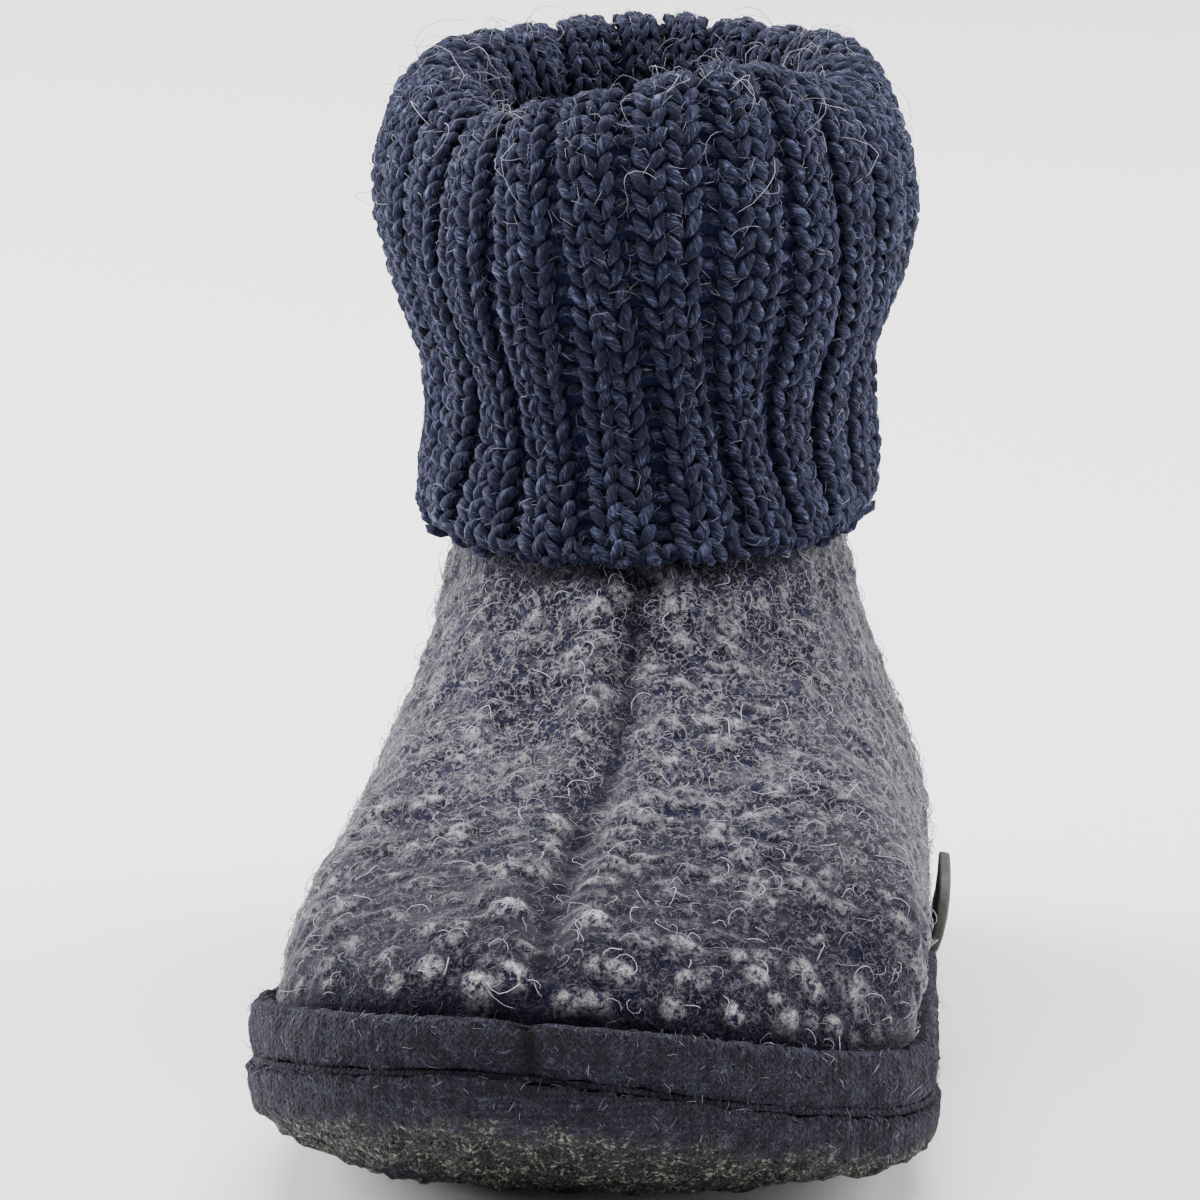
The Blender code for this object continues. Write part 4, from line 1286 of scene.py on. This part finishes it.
# Bright knots in the camera's picture: place, size and paleness
BRIGHT_KNOTS = (
    (512, 908, 1.35, 1.0), (597, 923, 1.35, 1.0), (516, 970, 1.3, 1.0), (478, 988, 1.3, 0.95),
    (430, 965, 1.1, 0.75), (622, 972, 1.2, 0.85), (568, 1004, 1.1, 0.85), (596, 1004, 1.0, 0.85),
    (735, 1014, 1.0, 0.85), (790, 1020, 0.9, 0.75), (835, 1028, 0.9, 0.75), (672, 1010, 1.0, 0.75),
    (680, 940, 1.0, 0.65), (612, 865, 1.2, 0.75), (590, 882, 0.9, 0.65), (505, 870, 1.1, 0.65),
    (538, 872, 1.0, 0.65), (557, 826, 1.1, 0.75), (550, 846, 0.8, 0.75), (512, 840, 0.7, 0.6),
    (640, 818, 1.0, 0.75), (594, 806, 0.8, 0.75), (613, 838, 0.8, 0.65), (712, 838, 0.9, 0.65),
    (755, 815, 1.0, 0.65), (675, 765, 1.2, 0.65), (592, 706, 1.0, 0.65), (610, 692, 0.8, 0.65),
    (645, 670, 1.3, 0.65), (598, 642, 1.0, 0.65), (596, 612, 1.2, 0.75), (670, 612, 1.0, 0.65),
    (606, 575, 1.1, 0.75), (622, 592, 1.0, 0.85), (665, 580, 1.2, 0.65), (566, 576, 1.0, 0.65),
    (725, 562, 1.2, 0.65), (570, 660, 0.9, 0.55), (480, 640, 1.0, 0.55), (475, 735, 1.2, 0.55),
    (430, 785, 1.0, 0.55), (530, 620, 1.0, 0.5), (682, 645, 0.9, 0.65), (740, 670, 1.0, 0.55),
    (705, 722, 1.2, 0.55), (645, 735, 1.1, 0.55), (815, 985, 1.1, 0.6), (770, 900, 0.9, 0.5),
    (720, 880, 0.9, 0.5), (685, 975, 0.9, 0.6), (740, 955, 0.9, 0.6), (650, 940, 0.8, 0.6),
    (460, 925, 0.8, 0.6), (395, 985, 0.9, 0.65), (530, 940, 0.8, 0.65),
)


def spaced(path, gap):
    """The places along a path at about this gap."""
    out = []
    for a, b in zip(path, path[1:]):
        count = max(1, round((b - a).length / gap))
        out += [a.lerp(b, k / count) for k in range(count)]
    return out + [path[-1]]


def distance_to(points, path):
    """How far each point is from a path."""
    steps = spaced(path, 0.5 * MM)
    near = kdtree.KDTree(len(steps))
    for i, place in enumerate(steps):
        near.insert(place, i)
    near.balance()
    return np.array([near.find(point)[2] for point in points])


class SLIPPER_OT_upper(bpy.types.Operator):
    """Makes the boiled wool upper with its centre seam, creases and knots"""

    bl_idname = "slipper.upper"
    bl_label = "Boiled wool upper"

    KEEP_CLEAR = 0.5 * MM
    CLEAR_FADE = 2.0 * MM
    # Painted shade: the wool is drawn darker towards the toe, from this far in front of the heel
    DARK_TOE = (80 * MM, 118 * MM)
    # Painted shade, where the wool meets the rand and the hem, begins and ends this near them, and is
    # this dark
    EDGE_SHADE = (0.8 * MM, 3.6 * MM)
    EDGE_PAINTED_SHADE = 0.8
    # How dark the painted shade in the seam's bottom is, and its half width in the seam's
    SEAM_PAINTED_SHADE = 0.75
    SEAM_PAINTED_SHADE_WIDTH = 0.45
    # The nap: its mean, how much it varies and over what size, how much thicker it is
    # on a knot, its least, and how much thinner it is at the toe
    NAP_MEAN = 0.55
    NAP_VARIES = 0.45
    NAP_PATCH = 5 * MM
    NAP_ON_KNOT = 0.4
    NAP_LEAST = 0.15
    NAP_LESS_AT_TOE = 0.2
    # The seam's raised lips: their height in its depths and their place in its widths
    LIP_HEIGHT = 0.35
    LIP_PLACE = 2.2
    # Unevenness: height, size of a patch, seed and octaves
    UNEVEN = ((0.40 * MM, 4.5 * MM, 2, 2), (0.22 * MM, 1.4 * MM, 3, 1))
    # The share of the points that is kept where they don't show
    HIDDEN_SHARE = 0.45
    # The strewn knots' paleness and size; they are fainter this near the seam
    KNOT_PALE = (0.1, 0.7)
    KNOT_SIZES = (0.55, 1.2)
    SEAM_FAINT = 0.3
    SEAM_REACH = 2 * MM
    # A knot is a dome with a steep edge, out to this many times its radius
    KNOT_EDGE = 5
    KNOT_REACH = 1.8
    # The wool between the knots sinks by this share of their height
    KNOT_SINK = 0.25

    def execute(self, context):
        wool = context.scene.slipper_wool
        thing = felted_copy("upper", "upper_wool", wool.grain)
        shows = self.shape(thing.data, wool)
        thinned(thing, shows, self.HIDDEN_SHARE)
        finish_piece(thing, boiled_wool(context.scene.slipper_colours), ["upper"])
        return {"FINISHED"}

    def shape(self, mesh, wool):
        """Moves the points for the seam, creases and knots and stores the nap."""
        points = places(mesh)
        normals = directions(mesh)
        skin = skin_of("upper")
        faces_out, shows, room = exposure(points, normals, "upper")
        clear = eased(room, self.KEEP_CLEAR, self.KEEP_CLEAR + self.CLEAR_FADE) * faces_out
        seam = distance_to(points, seen_places(skin, SEAM_LINE))
        trough = np.exp(-((seam / wool.seam_width) ** 2))
        shift = -wool.seam_depth * trough
        beside = (seam - self.LIP_PLACE * wool.seam_width) / wool.seam_width
        shift += self.LIP_HEIGHT * wool.seam_depth * np.exp(-(beside**2))
        for line, depth, width in CREASES:
            far = distance_to(points, seen_places(skin, line))
            shift -= depth * np.exp(-((far / width) ** 2))
        knot = self.knots(points, shows, skin, wool, seam)
        shift += wool.knot_height * (knot - self.KNOT_SINK)
        for height, size, seed, octaves in self.UNEVEN:
            shift += height * roughness_at(points, size, seed, octaves)
        move_to(mesh, points + normals * (shift * clear)[:, None])
        store(mesh, "knot", knot)
        # How near the toe each point is, for the toe's painted shade and its thinner nap
        toe = eased(-points[:, 1], *self.DARK_TOE)
        store(mesh, "toe", toe)
        # Painted shade in the seam's bottom and where the wool meets the rand and the hem
        painted_shade_width = self.SEAM_PAINTED_SHADE_WIDTH * wool.seam_width
        dark = self.SEAM_PAINTED_SHADE * np.exp(-((seam / painted_shade_width) ** 2))
        edges = skin_of("rand", "cuff")
        near = [edges.find_nearest(Vector(point), COVERED)[3] or COVERED for point in points]
        edge = self.EDGE_PAINTED_SHADE * (1 - eased(near, *self.EDGE_SHADE))
        store(mesh, "trough", np.maximum(dark, edge))
        nap = self.NAP_MEAN + self.NAP_VARIES * roughness_at(points, self.NAP_PATCH, 4)
        nap = np.clip(nap + self.NAP_ON_KNOT * knot, self.NAP_LEAST, 1)
        store(mesh, "nap", shows * nap * (1 - self.NAP_LESS_AT_TOE * toe))
        return shows

    def knots(self, points, shown, skin, wool, seam):
        """How far each point lies in a pale knot, from 0 to 1."""
        rng = random.Random(SEED_KNOTS)
        near = kdtree.KDTree(len(points))
        for i, point in enumerate(points):
            near.insert(point, i)
        near.balance()
        spots = []
        for across, down, size, pale in BRIGHT_KNOTS:
            for place in seen_places(skin, [(across, down)]):
                spots.append((place, size * wool.knot, pale))
        open_points = np.flatnonzero(shown)
        for _ in range(wool.knots):
            index = int(open_points[rng.randrange(len(open_points))])
            faint = self.SEAM_FAINT if seam[index] < self.SEAM_REACH else 1.0
            pale = rng.uniform(*self.KNOT_PALE) * faint
            size = wool.knot * rng.uniform(*self.KNOT_SIZES)
            spots.append((Vector(points[index]), size, pale))
        knot = np.zeros(len(points))
        for place, size, pale in spots:
            for _, index, far in near.find_range(place, self.KNOT_REACH * size):
                height = pale * math.exp(-((far / size) ** self.KNOT_EDGE))
                knot[index] = max(knot[index], height)
        return knot


class SLIPPER_OT_upper_nap(bpy.types.Operator):
    """Strews curled pale fibres over the boiled wool"""

    bl_idname = "slipper.upper_nap"
    bl_label = "Upper nap"

    # What curl_bag takes, and the spread of sizes
    CURLS = (24, (2.6 * MM, 5.6 * MM), 0.8 * MM, 1.0 * MM, 8)
    SIZES = (0.6, 1.3)

    def execute(self, context):
        wool = context.scene.slipper_wool
        colours = context.scene.slipper_colours
        mesh = bpy.data.objects["upper_wool"].data
        hair = tuple(colours.hair)
        material = wool_fibre("wool_hair", toned(hair, 0.15), toned(hair, 0.6), toned(hair, 1.6))
        bag = curl_bag("curl", *self.CURLS, wool.fibre, SEED_CURLS + 2)
        for i, part in enumerate(("inner_nap", "outer_nap")):
            seed = SEED_UPPER_NAP + i
            nap_piece(part, mesh, wool.hairs / 2, bag, self.SIZES, seed, material)
        empty_bag(bag)
        return {"FINISHED"}


# The rand, the sole and the footbed

OUTLINE_DIRECTIONS = 60
# The centre seam runs on down the rand, at these places of the picture
RAND_SEAM = ((526, 1005), (528, 1050), (530, 1090))


def outline_arc():
    """Shares of the way round the sole's outline for directions from its middle."""
    middle = (CAD_LOW + CAD_HIGH) / 2
    points = places(frame["nodes"]["outsole"].data) - np.array(middle)
    turns = np.linspace(-math.pi, math.pi, OUTLINE_DIRECTIONS + 1)
    turn = np.arctan2(points[:, 1], points[:, 0])
    reach = np.linalg.norm(points[:, :2], axis=1)
    width = turns[1] - turns[0]
    far = [reach[np.abs(turn - t) < width].max(initial=0) for t in turns]
    far[0] = far[-1] = max(far[0], far[-1])
    ring = np.stack([np.cos(turns) * far, np.sin(turns) * far], axis=1)
    steps = np.linalg.norm(np.diff(ring, axis=0), axis=1)
    return turns, np.concatenate([[0], np.cumsum(steps)]), middle


def height_shares(points):
    """How high each point lies between the lowest and the highest in its direction."""
    turns, _, middle = outline_arc()
    turn = np.arctan2(points[:, 1] - middle.y, points[:, 0] - middle.x)
    width = turns[1] - turns[0]
    heights = [points[np.abs(turn - t) < width, 2] for t in turns]
    low = np.interp(turn, turns, [some.min(initial=1.0) for some in heights])
    high = np.interp(turn, turns, [some.max(initial=0.0) for some in heights])
    return np.clip((points[:, 2] - low) / (high - low), 0, 1)


def first_hits(skins, start, aim):
    """Which of some skins a ray meets first, and where."""
    best = (None, None, FAR)
    for name, skin in skins.items():
        place, _, _, far = skin.ray_cast(start, aim, FAR)
        if place is not None and far < best[2]:
            best = (name, place, far)
    return best


def knit_uv(mesh, wale, course):
    """Lays the UV map so that one unit is one stitch across and one row up."""
    turns, arc, middle = outline_arc()
    count = round(arc[-1] / wale)
    points = places(mesh)
    turn = np.arctan2(points[:, 1] - middle.y, points[:, 0] - middle.x)
    across = np.interp(turn, turns, arc / arc[-1] * count)
    layer = mesh.uv_layers.new(name="UVMap")
    corners = np.zeros(len(mesh.loops), int)
    mesh.loops.foreach_get("vertex_index", corners)
    u = across[corners]
    for polygon in mesh.polygons:
        span = slice(polygon.loop_start, polygon.loop_start + polygon.loop_total)
        if u[span].max() - u[span].min() > count / 2:
            u[span] = np.where(u[span] < count / 2, u[span] + count, u[span])
    v = points[corners, 2] / course
    layer.data.foreach_set("uv", np.stack([u, v], axis=1).ravel())


class SLIPPER_OT_sole(bpy.types.Operator):
    """Makes the knitted rand and the knitted sole cup with its latex underside"""

    bl_idname = "slipper.sole"
    bl_label = "Rand and sole"

    GRAIN = 0.66 * MM
    WALE = 0.85 * MM
    COURSE = 0.75 * MM
    # Unevenness: height, size of a patch, seed and octaves
    UNEVEN = ((0.28 * MM, 6 * MM, 7, 1), (0.28 * MM, 1.7 * MM, 6, 2))
    # Nothing moves close to the floor or to another node
    FLOOR_FADE = (0.3 * MM, 2.0 * MM)
    CLEAR_FADE = (0.2 * MM, 1.5 * MM)
    # The latex covers what faces down: how far its edge strays, and where it begins
    # and ends by the steepness of the surface
    LATEX_STRAY = 0.22
    LATEX_EDGE = (-0.78, -0.42)
    NUBS = 0.95 * MM
    NUB_SIZE = 2.0 * MM
    # The rand is fuller in the middle and thins out at its top edge
    BULGE = 0.5 * MM
    TAPER = 0.7 * MM
    TAPER_FROM = 0.78
    # The seam down the rand: its depth, and its half width, which its painted shade shares
    SEAM_DEPTH = 1.3 * MM
    SEAM_WIDTH = 1.2 * MM
    WELT_REACH = (0.8 * MM, 3.2 * MM)
    WELT_GAP = 0.2 * MM
    WELT_SWELL = 0.46
    # Only what faces up or down swells: the square of the normal's height
    WELT_LEVEL = (0.02, 0.3)
    # How far the latex and the seam are bare of hairs, which end above the floor
    LATEX_BARE = 0.9
    SEAM_BARE = 0.8
    NAP_FADE = (1.2 * MM, 2.5 * MM)
    # The share of the points that is kept where they don't show
    HIDDEN_SHARE = 0.35
    # The cord in the groove: its thickness, how deep it lies under the lips, how far
    # from its level these are measured, and how it is traced
    CORD = 1.0 * MM
    CORD_DEPTH = 0.7 * MM
    CORD_LIPS = (0.8 * MM, 1.4 * MM)
    CORD_STEPS = 240
    CORD_SIDES = 6
    CORD_PROBE = 0.15 * MM
    CORD_TOP = 26 * MM
    # Loose hairs per square centimetre, what curl_bag takes, and the spread of sizes
    HAIRS = {"rand": 170, "outsole": 120}
    CURLS = (14, (0.8 * MM, 2.0 * MM), 0.45 * MM, 0.7 * MM, 3, 0.07 * MM)
    SIZES = (0.7, 1.3)

    def execute(self, context):
        colours = context.scene.slipper_colours
        material = close_knit("coated_knit", colours)
        yarn = colours.sole_yarn
        fibre = wool_fibre("sole_hair", toned(yarn, 0.7), toned(yarn, 2.6), toned(colours.hair, 0.8))
        bag = curl_bag("sole_curl", *self.CURLS, SEED_CURLS + 3)
        sizes = self.SIZES
        skins = {}
        for node, hairs in self.HAIRS.items():
            thing = felted_copy(node, f"{node}_knit", self.GRAIN)
            shows = self.shape(thing.data, node)
            thinned(thing, shows, self.HIDDEN_SHARE)
            knit_uv(thing.data, self.WALE, self.COURSE)
            finish_piece(thing, material, [node])
            nap_piece(f"{node}_fuzz", thing.data, hairs, bag, sizes, SEED_SOLE_NAP, fibre)
            faces = [tuple(polygon.vertices) for polygon in thing.data.polygons]
            skins[node] = BVHTree.FromPolygons([v.co.copy() for v in thing.data.vertices], faces)
        empty_bag(bag)
        self.cord(skins, material)
        return {"FINISHED"}

    def groove(self, skins, start, out):
        """The height of the groove in one direction and the cord's way from start."""
        hits = []
        for height in np.arange(0.0, self.CORD_TOP, self.CORD_PROBE):
            name, place, _ = first_hits(skins, start + UP * height, -out)
            hits.append((name, place, height))
        low = max(height for name, _, height in hits if name == "outsole")
        high = min(height for name, _, height in hits if name == "rand")
        level = (low + high) / 2
        least, most = self.CORD_LIPS
        lips = []
        for name, place, height in hits:
            if name and least < abs(height - level) < most:
                lips.append((place - start).dot(-out))
        return level, sum(lips) / len(lips) + self.CORD_DEPTH

    def cord(self, skins, material):
        """The sewn cord that lies in the groove between the rand and the sole."""
        middle = (CAD_LOW + CAD_HIGH) / 2
        centre = Vector((middle.x, middle.y, 0.0))
        steps = self.CORD_STEPS
        sides = self.CORD_SIDES
        turns = [2 * math.pi * i / steps for i in range(steps)]
        outs = [Vector((math.cos(turn), math.sin(turn), 0.0)) for turn in turns]
        ring = np.array([self.groove(skins, centre + out * FAR, out) for out in outs])
        ring[:, 1] = FAR - ring[:, 1]
        for _ in range(2):
            ring = (np.roll(ring, 1, axis=0) + ring + np.roll(ring, -1, axis=0)) / 3
        points = []
        faces = []
        for i, (out, (level, reach)) in enumerate(zip(outs, ring)):
            place = centre + UP * level + out * reach
            a = i * sides
            b = (i + 1) % steps * sides
            for j in range(sides):
                angle = 2 * math.pi * j / sides
                side = out * math.cos(angle) + UP * math.sin(angle)
                points.append(place + side * self.CORD / 2)
                k = (j + 1) % sides
                faces.append((a + j, b + j, b + k, a + k))
        mesh = mesh_of("seam_cord", points, faces)
        knit_uv(mesh, self.WALE, self.COURSE)
        finish_piece(linked("seam_cord", mesh), material)

    def shape(self, mesh, node):
        """Makes the knit uneven and the latex nubbly, and stores where each is."""
        points = places(mesh)
        normals = directions(mesh)
        faces_out, shows, room = exposure(points, normals, node)
        off_floor = eased(points[:, 2], *self.FLOOR_FADE)
        clear = eased(room, *self.CLEAR_FADE) * faces_out * off_floor
        edge = normals[:, 2] + self.LATEX_STRAY * roughness_at(points, 2.5 * MM, 8, 2)
        latex = (1 - eased(edge, *self.LATEX_EDGE)) * (node == "outsole")
        shift = self.NUBS * latex * roughness_at(points, self.NUB_SIZE, 9)
        for height, size, seed, octaves in self.UNEVEN:
            shift += height * roughness_at(points, size, seed, octaves)
        if node == "rand":
            share = height_shares(points)
            shift += self.BULGE * (4 * share * (1 - share) - 0.5)
            shift -= self.TAPER * eased(share, self.TAPER_FROM, 1.0)
        path = seen_places(skin_of("rand", "outsole", "upper"), RAND_SEAM)
        seam = np.exp(-((distance_to(points, path) / self.SEAM_WIDTH) ** 2))
        shift -= self.SEAM_DEPTH * seam * (node == "rand")
        # The welts swell towards each other, so that the groove stays narrow
        swell = self.WELT_SWELL * (room - self.WELT_GAP) * (1 - eased(room, *self.WELT_REACH))
        swell = np.maximum(swell, 0) * eased(normals[:, 2] ** 2, *self.WELT_LEVEL) * off_floor
        move_to(mesh, points + normals * (shift * clear + swell * faces_out)[:, None])
        store(mesh, "latex", latex)
        # The seam's mask, for the painted shade in its dent and for its bare nap
        store(mesh, "seam", seam)
        nap = shows * (1 - self.LATEX_BARE * latex) * (1 - self.SEAM_BARE * seam)
        store(mesh, "nap", nap * eased(points[:, 2], *self.NAP_FADE))
        return shows


class SLIPPER_OT_footbed(bpy.types.Operator):
    """Finishes the felt footbed inside the slipper"""

    bl_idname = "slipper.footbed"
    bl_label = "Footbed"

    def execute(self, context):
        material = wool_felt(context.scene.slipper_colours)
        node = frame["nodes"]["insole"]
        for slot in node.material_slots:
            slot.material = material
        if not node.material_slots:
            node.data.materials.append(material)
        return {"FINISHED"}


class SLIPPER_OT_side_tab(bpy.types.Operator):
    """Makes the bare leather tab low on the outer side"""

    bl_idname = "slipper.side_tab"
    bl_label = "Side tab"

    EDGE = 0.3 * MM

    def execute(self, context):
        build = merged_copy("side_tab")
        mesh = bpy.data.meshes.new("leather_tab")
        build.to_mesh(mesh)
        build.free()
        thing = linked("leather_tab", mesh)
        bevel = thing.modifiers.new("edge", "BEVEL")
        bevel.width = self.EDGE
        bevel.segments = 3
        bevel.limit_method = "ANGLE"
        applied(thing)
        thing.data.shade_smooth()
        finish_piece(thing, bare_leather(context.scene.slipper_colours), ["side_tab"])
        return {"FINISHED"}


# The stage


class SLIPPER_OT_stage(bpy.types.Operator):
    """Adds the pale floor, the soft studio light and the camera"""

    bl_idname = "slipper.stage"
    bl_label = "Stage"

    FLOOR = 4.0
    # Soft boxes: place, width, height and power
    LAMPS = (
        ((0.00, 0.10, 1.50), 1.4, 1.4, 48.0),
        ((-1.00, 0.25, 0.50), 0.9, 0.8, 34.0),
        ((1.00, 0.20, 0.45), 0.9, 0.8, 18.0),
    )
    LIT_PLACE = Vector((0.0, -0.05, 0.05))
    SKY = 0.5

    def execute(self, context):
        scene = context.scene
        half = self.FLOOR / 2
        corners = [(-half, -half, 0), (half, -half, 0), (half, half, 0), (-half, half, 0)]
        floor = linked("floor", mesh_of("floor", corners, [(0, 1, 2, 3)]))
        # Matt white paper
        material, _, shader = new_material("white_paper")
        shader.inputs["Base Color"].default_value = linear("#f6f6f6")
        shader.inputs["Roughness"].default_value = 0.9
        floor.data.materials.append(material)
        world = bpy.data.worlds.new("studio")
        world.use_nodes = True
        ground = world.node_tree.nodes["Background"]
        ground.inputs["Color"].default_value = (1.0, 1.0, 1.0, 1.0)
        ground.inputs["Strength"].default_value = self.SKY
        scene.world = world
        for i, (place, wide, tall, power) in enumerate(self.LAMPS):
            light = bpy.data.lights.new(f"soft_box_{i}", "AREA")
            light.shape = "RECTANGLE"
            light.size = wide
            light.size_y = tall
            light.energy = power
            lamp = bpy.data.objects.new(light.name, light)
            lamp.location = place
            aim = self.LIT_PLACE - Vector(place)
            lamp.rotation_euler = aim.to_track_quat("-Z", "Y").to_euler()
            scene.collection.objects.link(lamp)
        back, _, _ = camera_axes()
        eye = bpy.data.cameras.new("camera")
        eye.sensor_width = SENSOR_WIDTH
        eye.lens = FOCAL_PIXELS * SENSOR_WIDTH / IMAGE_SIDE
        camera = bpy.data.objects.new("camera", eye)
        camera.location = CAMERA_TARGET + back * CAMERA_DISTANCE
        camera.rotation_euler = (-back).to_track_quat("-Z", "Y").to_euler()
        scene.collection.objects.link(camera)
        scene.camera = camera
        return {"FINISHED"}


OPERATORS = (
    SLIPPER_OT_stage,
    SLIPPER_OT_cuff_ground,
    SLIPPER_OT_cuff_knit,
    SLIPPER_OT_cuff_hairs,
    SLIPPER_OT_upper,
    SLIPPER_OT_upper_nap,
    SLIPPER_OT_sole,
    SLIPPER_OT_footbed,
    SLIPPER_OT_side_tab,
)
SETTINGS = {
    "slipper_colours": SlipperColours,
    "slipper_knit": SlipperKnit,
    "slipper_wool": SlipperWool,
}


class SLIPPER_PT_panel(bpy.types.Panel):
    """Lists the slipper's pieces, sizes and colours"""

    bl_idname = "SLIPPER_PT_panel"
    bl_label = "Wool slipper"
    bl_space_type = "VIEW_3D"
    bl_region_type = "UI"
    bl_category = "Slipper"

    def draw(self, context):
        for name, group in SETTINGS.items():
            box = self.layout.box()
            settings = getattr(context.scene, name)
            for key in group.__annotations__:
                box.prop(settings, key)
        for operator in OPERATORS:
            self.layout.operator(operator.bl_idname)


def register():
    for group in SETTINGS.values():
        bpy.utils.register_class(group)
    for name, group in SETTINGS.items():
        setattr(bpy.types.Scene, name, PointerProperty(type=group))
    for operator in OPERATORS:
        bpy.utils.register_class(operator)
    bpy.utils.register_class(SLIPPER_PT_panel)


def unregister():
    bpy.utils.unregister_class(SLIPPER_PT_panel)
    for operator in reversed(OPERATORS):
        bpy.utils.unregister_class(operator)
    for name, group in SETTINGS.items():
        delattr(bpy.types.Scene, name)
        bpy.utils.unregister_class(group)


def main():
    register()
    bpy.ops.slipper.stage()
    bpy.ops.slipper.cuff_ground()
    bpy.ops.slipper.cuff_knit()
    bpy.ops.slipper.cuff_hairs()
    bpy.ops.slipper.upper()
    bpy.ops.slipper.upper_nap()
    bpy.ops.slipper.sole()
    bpy.ops.slipper.footbed()
    bpy.ops.slipper.side_tab()


if __name__ == "__main__":
    main()
